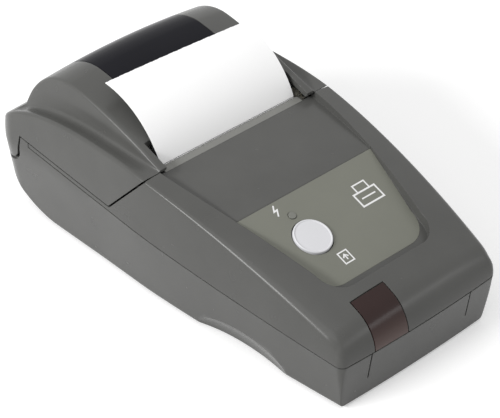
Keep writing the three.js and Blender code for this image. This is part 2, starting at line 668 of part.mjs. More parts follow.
// Sockets in the right side wall
const DATA_TO_TEAR = 4;
const DATA_Y = TEAR_Y - DATA_TO_TEAR;
const DATA_WIDTH = 12.4;
const DATA_RISE = 3.5;
const DATA_BOTTOM = CASE_BOTTOM + DATA_RISE;
const DATA_HEIGHT = 10.6;
const DATA_MOUTH_WIDTH = 9.6;
const DATA_MOUTH_HEIGHT = 6.6;
const SOCKET_PITCH = 13.5;
const POWER_Y = DATA_Y + SOCKET_PITCH;
const POWER_WIDTH = 9;
const POWER_HEIGHT = 10.4;
const POWER_BORE = 3;
const POWER_PIN = 1;
const SOCKET_SET = 4.1;
const SOCKET_FACE_X = WAIST_HALF_WIDTH - SOCKET_SET;
const SOCKET_LENGTH = 11.3;
const SOCKET_BACK_X = SOCKET_FACE_X - SOCKET_LENGTH;

// Two slits in the front wall leave a springy tongue that latches the front cover
const SLIT_MARGIN = 12.3;
const SLIT_X = WAIST_HALF_WIDTH - FRONT_TAPER - SLIT_MARGIN;
const SLIT_WIDTH = 0.5;
const SLIT_BOTTOM = 7.8;

function batteryWell() {
  return block(
    -WELL_HALF_WIDTH - WELL_WALL,
    WELL_HALF_WIDTH + WELL_WALL,
    WELL_FRONT - WELL_WALL,
    WELL_REAR + WELL_WALL,
    CASE_BOTTOM + WALL / 2,
    WELL_TOP,
  );
}

function wellCavity() {
  const inside = block(-WELL_HALF_WIDTH, WELL_HALF_WIDTH, WELL_FRONT, WELL_REAR, DOOR_TOP, WELL_CEILING);
  const mouth = block(
    -DOOR_HALF_WIDTH - CLEARANCE,
    DOOR_HALF_WIDTH + CLEARANCE,
    DOOR_FRONT - CLEARANCE,
    DOOR_AXIS_Y,
    -OVERRUN,
    DOOR_TOP + OVERRUN,
  );
  const barrelHalf = DOOR_HALF_WIDTH + CLEARANCE;
  const barrel = rodAlongX(DOOR_BARREL_ROOM, -barrelHalf, barrelHalf, DOOR_AXIS_Y, DOOR_AXIS_HEIGHT, 20);
  const pinHalf = DOOR_HALF_WIDTH + DOOR_PIN_LENGTH + CLEARANCE;
  const pin = rodAlongX(DOOR_PIN_RADIUS + CLEARANCE, -pinHalf, pinHalf, DOOR_AXIS_Y, DOOR_AXIS_HEIGHT, 12);
  return joined(inside, mouth, barrel, pin);
}

// Ribs across the belly that carry the roll tray
const RIB_OUTER_X = 22;
const RIB_INNER_X = 8;
const RIB_PLACES = [-RIB_OUTER_X, -RIB_INNER_X, RIB_INNER_X, RIB_OUTER_X];
const RIB_THICKNESS = 1.5;
function trayRibs() {
  const ribs = RIB_PLACES.map((x) => block(
    x - RIB_THICKNESS / 2,
    x + RIB_THICKNESS / 2,
    ROLL_Y - ROLL_RADIUS * 0.8,
    ROLL_Y + ROLL_RADIUS * 0.9,
    CASE_BOTTOM + WALL * 0.7,
    ROLL_HEIGHT - ROLL_RADIUS * 0.5,
  ));
  const room = TRAY_OUTER_RADIUS + CLEARANCE;
  return joined(...ribs).subtract(rodAlongX(room, -FAR, FAR, ROLL_Y, ROLL_HEIGHT, 48));
}

// Posts for the print mechanism and pads for the main board
const FRAME_DEPTH = 23.6;
const FRAME_FLOOR = PLATEN_HEIGHT - FRAME_DEPTH;
const FRAME_FLOOR_LENGTH = 12.5;
const FRAME_FLOOR_REAR = FRAME_FRONT + FRAME_FLOOR_LENGTH;
const POST_SIDE_SET = 9.9;
const POST_X = PLATEN_HALF_WIDTH - POST_SIDE_SET;
const POST_RADIUS = 2.6;
const POST_SET = 3;
function mechanismPosts() {
  const rows = [FRAME_FRONT + POST_SET, FRAME_FLOOR_REAR - POST_SET];
  const low = CASE_BOTTOM + WALL / 2;
  const posts = [-1, 1].flatMap((side) => rows.map((y) => (
    rodAlongZ(POST_RADIUS, low, FRAME_FLOOR - CLEARANCE, side * POST_X, y, 10)
  )));
  return joined(...posts);
}

const BOARD_STANDOFF = 1.6;
const BOARD_BOTTOM = WELL_TOP + BOARD_STANDOFF;
const BOARD_THICKNESS = 1.4;
const BOARD_SIDE_SET = 2.6;
const BOARD_HALF_WIDTH = WELL_HALF_WIDTH - BOARD_SIDE_SET;
const BOARD_TO_NOSE = 8.3;
const BOARD_FRONT = CASE_FRONT + BOARD_TO_NOSE;
const BOARD_REAR = WELL_REAR;
const PAD_RADIUS = 2.4;
const PAD_SIDE_SET = 4;
const PAD_FRONT_SET = 8;
const PAD_REAR_SET = 5;
function boardPads() {
  const rows = [BOARD_FRONT + PAD_FRONT_SET, BOARD_REAR - PAD_REAR_SET];
  const x = BOARD_HALF_WIDTH - PAD_SIDE_SET;
  const pads = [-x, x].flatMap((across) => rows.map((y) => (
    rodAlongZ(PAD_RADIUS, WELL_TOP - WELL_WALL / 2, BOARD_BOTTOM - CLEARANCE, across, y, 8)
  )));
  return joined(...pads);
}

// Stepped lip that overlaps the neighbouring case part from inside, as one section of six corners
const LIP_THICKNESS = 1;
const LIP_RISE = 1.6;
const LIP_DEPTH = 3;
const LIP_STEP = 0.7;
const LIP_FRONT_SET = 0.7;
const LIP_SIDE_SHARES = [0, 0.16, 0.32, 0.48, 0.62, 0.76, 0.88, 0.96];

function lipSection(planPoint, y, low, step, high) {
  const lean = (z) => UPPER_DRAFT_SHARE * Math.max(z - waistHeight(y), 0);
  const corner = (inset, z) => {
    const [x, along] = planPoint(inset);
    return [x - Math.sign(x) * lean(z), along, z];
  };
  const free = WALL + CLEARANCE;
  return [
    corner(WALL / 2, low),
    corner(free + LIP_THICKNESS, low),
    corner(free + LIP_THICKNESS, high),
    corner(free, high),
    corner(free, step),
    corner(WALL / 2, step),
  ];
}

function seamLip() {
  const front = CASE_FRONT + LIP_FRONT_SET;
  const sideLength = COVER_SIDE_CORNER_Y - CASE_FRONT;
  const section = (planPoint, y) => {
    const seam = seamHeight(y);
    return lipSection(planPoint, y, seam - LIP_DEPTH, seam - LIP_STEP, seam + LIP_RISE);
  };
  const side = (sign) => LIP_SIDE_SHARES.map((share) => {
    const y = COVER_SIDE_CORNER_Y - sideLength * share;
    return section((inset) => [sign * waistHalfWidth(y, inset), y], y);
  });
  const corner = (sign) => section((inset) => [
    sign * (WAIST_HALF_WIDTH - FRONT_TAPER - inset),
    front + FRONT_BOW + inset,
  ], CASE_FRONT);
  const middle = section((inset) => [0, front + inset], CASE_FRONT);
  return loft([...side(1), corner(1), middle, corner(-1), ...side(-1).reverse()]);
}

function railLips() {
  const start = COVER_SIDE_CORNER_Y + CLEARANCE;
  const end = RAIL_REAR - WALL;
  const lip = (sign) => loft([0, 0.33, 0.67, 1].map((share) => {
    const y = mix(start, end, share);
    const seam = seamHeight(y);
    return lipSection(
      (inset) => [sign * waistHalfWidth(y, inset), y],
      y,
      seam + SEAM_GAP,
      seam + RAIL_HEIGHT - SEAM_GAP * 1.4,
      seam + RAIL_HEIGHT + LIP_RISE,
    );
  }));
  return joined(lip(1), lip(-1));
}

function makeBase() {
  const cavity = innerHull.subtract(scoops(WALL));
  const shell = cutBy(outerHull, scoops(0), cavity).intersect(lowerRegion).subtract(coverRegionGrown);
  const bosses = joined(...SCREW_PLACES.map(([side, x, y]) => (
    rodAlongZ(BOSS_RADIUS, CASE_BOTTOM + WALL / 2, SCREW_BOSS_TOP, side * x, y, 14)
  )));
  const body = joined(
    shell,
    batteryWell(),
    bosses,
    trayRibs(),
    mechanismPosts(),
    boardPads(),
    seamLip(),
    baseKnuckles(),
  );
  const screwCuts = SCREW_PLACES.flatMap(([side, x, y]) => [
    rodAlongZ(SCREW_RADIUS + CLEARANCE, -OVERRUN, SCREW_BOSS_TOP + OVERRUN, side * x, y, 12),
    rodAlongZ(SCREW_HEAD_RADIUS + CLEARANCE, -OVERRUN, SCREW_SEAT, side * x, y, 16),
  ]);
  const footCuts = FOOT_PLACES.map(([x, y, radius]) => (
    rodAlongZ(radius + FIT_GAP, -OVERRUN, CASE_BOTTOM + FOOT_SUNK, x, y, 16)
  ));
  const slits = [-1, 1].map((side) => block(
    side * SLIT_X - SLIT_WIDTH / 2,
    side * SLIT_X + SLIT_WIDTH / 2,
    CASE_FRONT - OVERRUN,
    CASE_FRONT + FRONT_LEAN + WALL * 1.2,
    SLIT_BOTTOM,
    SEAM_FRONT_HEIGHT * 1.2,
  ));
  const dataHole = block(
    SOCKET_FACE_X - WALL,
    FAR,
    DATA_Y - DATA_MOUTH_WIDTH / 2 - CLEARANCE,
    DATA_Y + DATA_MOUTH_WIDTH / 2 + CLEARANCE,
    DATA_BOTTOM + (DATA_HEIGHT - DATA_MOUTH_HEIGHT) / 2 - CLEARANCE,
    DATA_BOTTOM + (DATA_HEIGHT + DATA_MOUTH_HEIGHT) / 2 + CLEARANCE,
  );
  const powerHole = rodAlongX(
    POWER_BORE + CLEARANCE,
    SOCKET_FACE_X - WALL,
    FAR,
    POWER_Y,
    DATA_BOTTOM + POWER_HEIGHT / 2,
    16,
  );
  return cutBy(body, wellCavity(), ...screwCuts, ...footCuts, ...slits, dataHole, powerHole);
}

// Recess outline in plan, from the rear, round the front corners
function recessOutline(shrink) {
  const frontHalf = RECESS_FRONT_HALF_WIDTH - shrink;
  const rearHalf = RECESS_REAR_HALF_WIDTH - shrink;
  const front = RECESS_FRONT_Y + shrink;
  const corner = RECESS_CORNER - shrink;
  const rear = SLOT_REAR;
  const sideShares = [0, 0.25, 0.5, 0.75, 1];
  const sideX = (share) => rearHalf - (rearHalf - frontHalf) * share ** RECESS_SIDE_POWER;
  const sideEnd = front + corner;
  const side = sideShares.map((share) => [sideX(share), mix(COVER_FRONT, sideEnd, share)]);
  const bend = span(7).slice(1).map((k) => {
    const angle = (k / 6) * 90 * DEGREE;
    return [frontHalf - corner + corner * Math.cos(angle), sideEnd - corner * Math.sin(angle)];
  });
  const half = [[rearHalf, rear], ...side, ...bend];
  return [...half, ...half.slice().reverse().map(([x, y]) => [-x, y])];
}

// Surface height of the case above a plan point in front of the cover, near enough for the recess
function topHeight(y) {
  return ridgeHeight(y, 0) + edgeCrown(y);
}

// Band with sloped walls that follows the recess outline above and below the surface
function recessBand(shrink) {
  const outline = recessOutline(shrink);
  const centreY = mix(RECESS_FRONT_Y, COVER_FRONT, 0.5);
  const spread = (lift) => outline.map(([x, y]) => {
    const length = Math.hypot(x, y - centreY);
    const out = (lift * RECESS_WALL_SHARE) / length;
    const along = y > COVER_FRONT ? y : y + (y - centreY) * out;
    return [x + x * out, along, topHeight(Math.min(y, COVER_FRONT)) + lift];
  });
  return loft([spread(-RECESS_BAND), spread(RECESS_BAND * 2)], ([x, y]) => [x, y]);
}

const labelSlope = Math.tan(LABEL_SLOPE_DEGREES * DEGREE);
const rearFloorSlope = REAR_FLOOR_RISE / (TEAR_Y - RECESS_CREASE_Y);
function floorHeight(y, drop) {
  const slope = y < RECESS_CREASE_Y ? labelSlope : rearFloorSlope;
  return RECESS_CREASE_HEIGHT - drop + (y - RECESS_CREASE_Y) * slope;
}

// Everything above the recess floor, lowered by a drop
function aboveFloor(drop, rear = SLOT_REAR) {
  return slabAlongX([
    [CASE_FRONT, floorHeight(CASE_FRONT, drop)],
    [RECESS_CREASE_Y, floorHeight(RECESS_CREASE_Y, drop)],
    [rear, floorHeight(rear, drop)],
    [rear, SKY],
    [CASE_FRONT, SKY],
  ], -FAR, FAR);
}

// Frame of the label plane, with its origin on the crease
const labelFrame = new THREE.Group();
labelFrame.position.set(0, RECESS_CREASE_Y, RECESS_CREASE_HEIGHT);
labelFrame.rotation.x = LABEL_SLOPE_DEGREES * DEGREE;
labelFrame.updateMatrixWorld(true);
model.add(labelFrame);

// Round bar square to the label plane, in the label's own frame and in the part's frame
function labelRod(radius, low, high, x, down, sides = 32) {
  const geometry = new THREE.CylinderGeometry(radius, radius, high - low, sides);
  geometry.rotateX(Math.PI / 2);
  geometry.translate(x, -down, (low + high) / 2);
  return geometry;
}

function labelRodInPart(radius, low, high, x, down, sides = 24) {
  return solid(labelRod(radius, low, high, x, down, sides).applyMatrix4(labelFrame.matrixWorld));
}

const FLOOR_BACKING = 1.8;
const KEY_BOARD_DEPTH = 8.4;
const KEY_BOARD_LENGTH = 24;
const KEY_BOARD_WIDTH = 26;
const KEY_BOARD_DOWN = (BUTTON_DOWN + LIGHT_DOWN) / 2;
const LABEL_GAP = 0.25;
const LABEL_POCKET = LABEL_THICKNESS + LABEL_GAP;
const HOLE_GAP = 0.35;

const KEY_POST_RADIUS = 1.6;
const KEY_POST_SET = 2.2;

// Four posts under the recess floor that hold the small key board
function keyBoardPosts() {
  const posts = [-1, 1].flatMap((across) => [-1, 1].map((along) => labelRodInPart(
    KEY_POST_RADIUS,
    CLEARANCE - KEY_BOARD_DEPTH,
    -FLOOR_BACKING,
    BUTTON_X + across * (KEY_BOARD_WIDTH / 2 - KEY_POST_SET),
    KEY_BOARD_DOWN + along * (KEY_BOARD_LENGTH / 2 - KEY_POST_SET),
    12,
  )));
  return joined(...posts);
}

function linkWindowRegion(growth) {
  return slabAlongX([
    [CASE_FRONT - FAR, seamHeight(CASE_FRONT) + SEAM_GAP / 2],
    [LINK_WINDOW_REAR + growth, seamHeight(CASE_FRONT) + SEAM_GAP / 2],
    [LINK_WINDOW_REAR + growth, SKY],
    [CASE_FRONT - FAR, SKY],
  ], LINK_WINDOW_LEFT - growth, LINK_WINDOW_RIGHT + growth);
}

// Tongue of the front cover that reaches under the tear bar
const TONGUE_REAR = TEAR_Y - PAPER_SHEET / 2 - CLEARANCE - TEAR_TOOTH;
const TONGUE_HALF_WIDTH = SLOT_HALF_WIDTH - CLEARANCE * 2;
const BAR_FRONT = TONGUE_REAR - TEAR_BAR_DEPTH;
const TOP_POST_RADIUS = 2.7;

function topScrewPosts() {
  const front = SCREW_PLACES.slice(0, 2).map(([side, x, y]) => (
    rodAlongZ(TOP_POST_RADIUS, SCREW_BOSS_TOP + CLEARANCE, ridgeHeight(y, WALL / 2), side * x, y, 12)
  ));
  const rear = SCREW_PLACES.slice(2).map(([side, x, y]) => {
    const top = seamHeight(y) + RAIL_HEIGHT * 1.6;
    const post = rodAlongZ(TOP_POST_RADIUS, SCREW_BOSS_TOP + CLEARANCE, top, side * x, y, 12);
    const wallX = WAIST_HALF_WIDTH - WALL / 2;
    const arm = block(
      Math.min(side * x, side * wallX),
      Math.max(side * x, side * wallX),
      y - TOP_POST_RADIUS,
      y + TOP_POST_RADIUS,
      seamHeight(y) + SEAM_GAP / 2 + CLEARANCE,
      seamHeight(y) + RAIL_HEIGHT - SEAM_GAP,
    );
    return joined(post, arm);
  });
  return joined(...front, ...rear);
}

function makeTopCase() {
  const cover = coverRegionGrown;
  const wholeUpper = outerHull.intersect(upperRegion);
  const half = TONGUE_HALF_WIDTH;
  const tongue = block(-half, half, COVER_FRONT - WALL, TONGUE_REAR, SLOT_FLOOR, SKY).intersect(outerHull);
  const recess = recessBand(0).intersect(aboveFloor(0));
  const backing = recessBand(-WALL).intersect(aboveFloor(FLOOR_BACKING + LABEL_POCKET));
  const cavity = innerHull.subtract(backing);
  const shell = cutBy(wholeUpper, cover, cavity);
  const body = joined(shell, tongue, topScrewPosts(), railLips(), keyBoardPosts());
  const pilots = SCREW_PLACES.map(([side, x, y]) => {
    const top = seamHeight(y) + (y < 0 ? -SEAM_GAP : RAIL_HEIGHT / 2);
    return rodAlongZ(SCREW_RADIUS + CLEARANCE, 0, top, side * x, y, 10);
  });
  const pocket = recessBand(CLEARANCE)
    .intersect(aboveFloor(LABEL_POCKET))
    .intersect(block(-FAR, FAR, -FAR, RECESS_CREASE_Y - CLEARANCE, 0, SKY));
  const barSeat = slabAlongX([
    [BAR_FRONT - CLEARANCE, floorHeight(BAR_FRONT, TEAR_BAR_THICKNESS + CLEARANCE)],
    [TEAR_Y, floorHeight(TEAR_Y, TEAR_BAR_THICKNESS + CLEARANCE)],
    [TEAR_Y, SKY],
    [BAR_FRONT - CLEARANCE, SKY],
  ], -TONGUE_HALF_WIDTH - CLEARANCE, TONGUE_HALF_WIDTH + CLEARANCE);
  const behind = hull(WALL * 1.6, INNER_DETAIL);
  const link = linkWindowRegion(FIT_GAP).intersect(outerHull).subtract(behind);
  const low = -FLOOR_BACKING * 3;
  const high = BUTTON_PROUD * 3;
  const buttonHole = labelRodInPart(BUTTON_RADIUS + HOLE_GAP, low, high, BUTTON_X, BUTTON_DOWN);
  const lightHole = labelRodInPart(LIGHT_RADIUS + HOLE_GAP, low, high, LIGHT_X, LIGHT_DOWN, 12);
  return cutBy(body, recess, pocket, barSeat, link, buttonHole, lightHole, ...pilots);
}

function makeLabel() {
  const region = recessBand(CLEARANCE * 2)
    .intersect(aboveFloor(LABEL_THICKNESS))
    .intersect(block(-FAR, FAR, -FAR, RECESS_CREASE_Y - CLEARANCE * 2, 0, SKY))
    .subtract(aboveFloor(0));
  const buttonHole = labelRodInPart(BUTTON_RADIUS + HOLE_GAP, -WALL, WALL, BUTTON_X, BUTTON_DOWN);
  const lightHole = labelRodInPart(LIGHT_RADIUS + HOLE_GAP, -WALL, WALL, LIGHT_X, LIGHT_DOWN, 12);
  return cutBy(region, buttonHole, lightHole);
}

// Toothed strip on which the paper is torn off
function makeTearBar() {
  const half = TONGUE_HALF_WIDTH - CLEARANCE;
  const pitch = (half * 2) / TEAR_TOOTH_COUNT;
  const points = [new THREE.Vector2(-half, BAR_FRONT), new THREE.Vector2(half, BAR_FRONT)];
  for (let tooth = TEAR_TOOTH_COUNT; tooth > 0; tooth -= 1) {
    const right = -half + pitch * tooth;
    points.push(new THREE.Vector2(right, TONGUE_REAR));
    points.push(new THREE.Vector2(right - pitch / 2, TONGUE_REAR + TEAR_TOOTH));
  }
  points.push(new THREE.Vector2(-half, TONGUE_REAR));
  const geometry = new THREE.ExtrudeGeometry(new THREE.Shape(points), {
    depth: TEAR_BAR_THICKNESS,
    bevelEnabled: false,
  });
  const slope = new THREE.Matrix4().makeShear(0, 0, 0, rearFloorSlope, 0, 0);
  geometry.applyMatrix4(slope);
  geometry.translate(0, 0, floorHeight(0, TEAR_BAR_THICKNESS));
  return geometry;
}

function makeLinkWindow() {
  return linkWindowRegion(0).intersect(outerHull).subtract(hull(WINDOW_THICKNESS, 1));
}

function rollWindowRegion(growth) {
  return block(
    -ROLL_WINDOW_HALF_WIDTH - growth,
    ROLL_WINDOW_HALF_WIDTH + growth,
    ROLL_WINDOW_FRONT - growth,
    ROLL_WINDOW_REAR + growth,
    HINGE_HEIGHT,
    SKY,
  );
}

function makeCoverWindow() {
  return rollWindowRegion(0).intersect(outerHull).subtract(hull(WINDOW_THICKNESS, INNER_DETAIL));
}

// Arms that hang from the dome behind the slot and carry the platen
const ARM_SET_BACK = 0.6;
const ARM_ROOT_FRONT = SLOT_REAR + ARM_SET_BACK;
const ARM_ROOT_LENGTH = 9.8;
const ARM_ROOT_REAR = ARM_ROOT_FRONT + ARM_ROOT_LENGTH;
const ARM_EYE_WALL = 1.9;
const ARM_NECK_RISE = 3;
function platenArms() {
  const radius = SHAFT_RADIUS + ARM_EYE_WALL;
  const outline = [
    ...arcPoints(PLATEN_Y, PLATEN_HEIGHT, radius, 130, 330, 8),
    [ARM_ROOT_REAR, DOME_TOP],
    [ARM_ROOT_FRONT, DOME_TOP],
    [ARM_ROOT_FRONT, PLATEN_HEIGHT + PLATEN_RADIUS + ARM_NECK_RISE],
  ];
  const arms = [1, -1].map((side) => slabAlongX(
    outline,
    Math.min(side * ARM_INNER, side * (ARM_INNER + ARM_THICKNESS)),
    Math.max(side * ARM_INNER, side * (ARM_INNER + ARM_THICKNESS)),
  ));
  const bore = rodAlongX(SHAFT_RADIUS + CLEARANCE, -FAR, FAR, PLATEN_Y, PLATEN_HEIGHT, 14);
  return joined(...arms).intersect(hull(WALL / 2, INNER_DETAIL)).subtract(bore);
}

// Two lugs with the pin bores, inside the rounded rear corners
function coverLugs() {
  const lug = (x0, x1) => rodAlongX(KNUCKLE_RADIUS, x0, x1, HINGE_Y, HINGE_HEIGHT, 22);
  const both = joined(lug(LUG_INNER, FAR), lug(-FAR, -LUG_INNER)).intersect(outerHull);
  const bore = rodAlongX(
    HINGE_PIN_RADIUS + CLEARANCE,
    -HINGE_PIN_OUTER - CLEARANCE,
    HINGE_PIN_OUTER + CLEARANCE,
    HINGE_Y,
    HINGE_HEIGHT,
    16,
  );
  return both.subtract(bore);
}

const RIB_TO_WINDOW = 5;
const COVER_RIB_X = ROLL_WINDOW_HALF_WIDTH + RIB_TO_WINDOW;
const COVER_RIB_WIDTH = 1.2;
const COVER_RIB_DEPTH = 1.6;
function coverRibs() {
  const from = SLOT_REAR + OVERRUN;
  const to = ROLL_WINDOW_REAR - COVER_RIB_DEPTH;
  const stations = span(8).map((k) => mix(from, to, k / 7));
  const outline = [
    ...stations.map((y) => [y, domeEdgeHeight(y, WALL * 0.6)]),
    ...stations.reverse().map((y) => [y, domeEdgeHeight(y, WALL + COVER_RIB_DEPTH / 2)]),
  ];
  const rib = (x) => slabAlongX(outline, x - COVER_RIB_WIDTH / 2, x + COVER_RIB_WIDTH / 2);
  return joined(rib(COVER_RIB_X), rib(-COVER_RIB_X));
}

function makePaperCover() {
  const shell = outerHull.intersect(coverRegion).subtract(innerHull);
  const slot = block(-SLOT_HALF_WIDTH, SLOT_HALF_WIDTH, -FAR, SLOT_REAR, 0, SKY);
  const knuckleRoom = [
    [BASE_KNUCKLE_INNER - CLEARANCE, BASE_KNUCKLE_OUTER + CLEARANCE],
    [-BASE_KNUCKLE_OUTER - CLEARANCE, -BASE_KNUCKLE_INNER + CLEARANCE],
  ].map(([x0, x1]) => rodAlongX(KNUCKLE_RADIUS + CLEARANCE, x0, x1, HINGE_Y, HINGE_HEIGHT, 24));
  const body = joined(shell.subtract(slot), platenArms(), coverRibs());
  const opened = cutBy(body, rollWindowRegion(FIT_GAP), ...knuckleRoom);
  return joined(opened, coverLugs());
}

const TRAY_STEPS = 12;
function makeRollTray() {
  const inner = ROLL_RADIUS + TRAY_GAP;
  const outer = inner + TRAY_WALL;
  const outline = [
    ...arcPoints(ROLL_Y, ROLL_HEIGHT, outer, TRAY_FRONT_DEGREES, TRAY_REAR_DEGREES, TRAY_STEPS),
    ...arcPoints(ROLL_Y, ROLL_HEIGHT, inner, TRAY_REAR_DEGREES, TRAY_FRONT_DEGREES, TRAY_STEPS),
  ];
  const trough = slabAlongX(outline, -TRAY_HALF_WIDTH, TRAY_HALF_WIDTH);
  const middle = inner + TRAY_WALL / 2;
  const cheek = arcPoints(ROLL_Y, ROLL_HEIGHT, middle, TRAY_FRONT_DEGREES, TRAY_REAR_DEGREES, TRAY_STEPS);
  const cheeks = [
    [-TRAY_HALF_WIDTH, -TRAY_HALF_WIDTH + TRAY_CHEEK],
    [TRAY_HALF_WIDTH - TRAY_CHEEK, TRAY_HALF_WIDTH],
  ].map(([x0, x1]) => slabAlongX(cheek, x0, x1));
  return joined(trough, ...cheeks);
}

function makePaperRoll() {
  const half = ROLL_WIDTH / 2;
  const inner = CORE_RADIUS + CLEARANCE;
  const profile = [
    new THREE.Vector2(inner, -half),
    new THREE.Vector2(ROLL_RADIUS, -half),
    new THREE.Vector2(ROLL_RADIUS, half),
    new THREE.Vector2(inner, half),
    new THREE.Vector2(inner, -half),
  ];
  const geometry = new THREE.LatheGeometry(profile, 32);
  geometry.rotateZ(Math.PI / 2);
  return solid(geometry);
}

function makeRollCore() {
  const half = ROLL_WIDTH / 2;
  const profile = [
    new THREE.Vector2(CORE_RADIUS - CORE_WALL, -half),
    new THREE.Vector2(CORE_RADIUS, -half),
    new THREE.Vector2(CORE_RADIUS, half),
    new THREE.Vector2(CORE_RADIUS - CORE_WALL, half),
    new THREE.Vector2(CORE_RADIUS - CORE_WALL, -half),
  ];
  const geometry = new THREE.LatheGeometry(profile, 20);
  geometry.rotateZ(Math.PI / 2);
  return solid(geometry);
}

// Strip of paper along a centre line in side view
function paperStrip(line, x0, x1) {
  const half = PAPER_SHEET / 2;
  const side = (sign) => line.map(([y, z], index) => {
    const [y0, z0] = line[Math.max(index - 1, 0)];
    const [y1, z1] = line[Math.min(index + 1, line.length - 1)];
    const length = Math.hypot(y1 - y0, z1 - z0);
    return [y - (sign * half * (z1 - z0)) / length, z + (sign * half * (y1 - y0)) / length];
  });
  return slabAlongX([...side(1), ...side(-1).reverse()], x0, x1);
}

// Route inside: off the roll, under the platen and up past the print head
const WEB_RADIUS = PLATEN_RADIUS + CLEARANCE + PAPER_SHEET / 2;
const WEB_UNDER_EDGE = 0.6;
const WEB_TOP = TEAR_HEIGHT - WEB_UNDER_EDGE;
const WRAP_DEGREES = 24;
function webLine() {
  const leave = ROLL_RADIUS + CLEARANCE + PAPER_SHEET / 2;
  const dy = PLATEN_Y - ROLL_Y;
  const dz = PLATEN_HEIGHT - ROLL_HEIGHT;
  const distance = Math.hypot(dy, dz);
  const towards = Math.atan2(dz, dy) / DEGREE;
  const offset = Math.acos((leave - WEB_RADIUS) / distance) / DEGREE;
  const touch = towards + offset;
  return [
    ...arcPoints(ROLL_Y, ROLL_HEIGHT, leave, touch + WRAP_DEGREES, touch, 4),
    ...arcPoints(PLATEN_Y, PLATEN_HEIGHT, WEB_RADIUS, touch, 180, 5),
    [TEAR_Y, WEB_TOP],
  ];
}

// Route outside: up from the tear edge in an arc that stays clear of the dome
const TAIL_START = WEB_TOP + CLEARANCE;
const TAIL_CENTRE_SET = 4.8;
const TAIL_CENTRE_DROP = 0.1;
const TAIL_CENTRE_Y = ROLL_Y - TAIL_CENTRE_SET;
const TAIL_CENTRE_HEIGHT = ROLL_HEIGHT - TAIL_CENTRE_DROP;
const TAIL_OVER_ROLL = 9.4;
const TAIL_RADIUS = ROLL_RADIUS + TAIL_OVER_ROLL;
const TAIL_END_DEGREES = 94;
const TAIL_STEPS = 14;
const TORN_SKEW = 2.6;
function tailLine() {
  const startDegrees = 180 - Math.asin((TAIL_START - TAIL_CENTRE_HEIGHT) / TAIL_RADIUS) / DEGREE;
  const centre = [TAIL_CENTRE_Y, TAIL_CENTRE_HEIGHT];
  const arc = arcPoints(...centre, TAIL_RADIUS, startDegrees, TAIL_END_DEGREES, TAIL_STEPS);
  const [startY] = arc[0];
  return arc.map(([y, z], index) => [y + (TEAR_Y - startY) * (1 - index / TAIL_STEPS) ** 2, z]);
}

// The free end is torn on a slant
function makePaperTail() {
  const half = PAPER_WIDTH / 2;
  const line = tailLine();
  const [endY, endZ] = line[line.length - 1];
  const reach = half + OVERRUN;
  const slant = new THREE.Shape([
    new THREE.Vector2(-reach, endY),
    new THREE.Vector2(reach, endY - TORN_SKEW),
    new THREE.Vector2(reach, endY + OVERRUN),
    new THREE.Vector2(-reach, endY + OVERRUN),
  ]);
  const cut = new THREE.ExtrudeGeometry(slant, { depth: TAIL_RADIUS, bevelEnabled: false });
  cut.translate(0, 0, endZ - TAIL_RADIUS / 2);
  return paperStrip(line, -half, half).subtract(solid(cut));
}

// Spur gear: straight-sided teeth on a round body, with a bore
function gearOutline(teeth, phase) {
  const pitchRadius = (MODULE * teeth) / 2;
  const root = pitchRadius - MODULE * 1.25;
  const tip = pitchRadius + MODULE;
  const step = FULL_TURN / teeth;
  const rootShare = 0.25;
  const tipShare = 0.1;
  return span(teeth).flatMap((tooth) => {
    const middle = phase + tooth * step;
    return [
      [root, middle - rootShare * step],
      [tip, middle - tipShare * step],
      [tip, middle + tipShare * step],
      [root, middle + rootShare * step],
    ];
  }).map(([radius, angle]) => [radius * Math.cos(angle), radius * Math.sin(angle)]);
}

function gear(teeth, phase, x0, x1, boreRadius) {
  const bore = arcPoints(0, 0, boreRadius, 360, 0, 12).slice(0, -1);
  return slabAlongX(gearOutline(teeth, phase), x0, x1, [bore]);
}

// Phase of a gear that meshes with another one seen at a given direction
function meshPhase(direction, firstTeeth, firstPhase, secondTeeth) {
  const inPitches = (direction - firstPhase) / (FULL_TURN / firstTeeth);
  return direction + Math.PI - (FULL_TURN / secondTeeth) * (0.5 - inPitches);
}

const PLATEN_TEETH = 20;
const SMALL_TEETH = 10;
const LARGE_TEETH = 26;
const PINION_TEETH = 9;
const OPENING_DIRECTION = Math.atan2(HINGE_Y - PLATEN_Y, PLATEN_HEIGHT - HINGE_HEIGHT);
const IDLER_DIRECTION = OPENING_DIRECTION - Math.PI;
const MOTOR_DIRECTION = -127 * DEGREE;
const idlerDistance = (MODULE * (PLATEN_TEETH + SMALL_TEETH)) / 2 + CENTRE_EXTRA;
const motorDistance = (MODULE * (LARGE_TEETH + PINION_TEETH)) / 2 + CENTRE_EXTRA;
const IDLER_Y = PLATEN_Y + idlerDistance * Math.cos(IDLER_DIRECTION);
const IDLER_HEIGHT = PLATEN_HEIGHT + idlerDistance * Math.sin(IDLER_DIRECTION);
const MOTOR_Y = IDLER_Y + motorDistance * Math.cos(MOTOR_DIRECTION);
const MOTOR_HEIGHT = IDLER_HEIGHT + motorDistance * Math.sin(MOTOR_DIRECTION);
const GEAR_PLANE = FRAME_INNER + FRAME_PLATE + GEAR_GAP;
const SECOND_PLANE = GEAR_PLANE + GEAR_WIDTH + GEAR_GAP;
const GEAR_END = SECOND_PLANE + GEAR_WIDTH * 0.8;

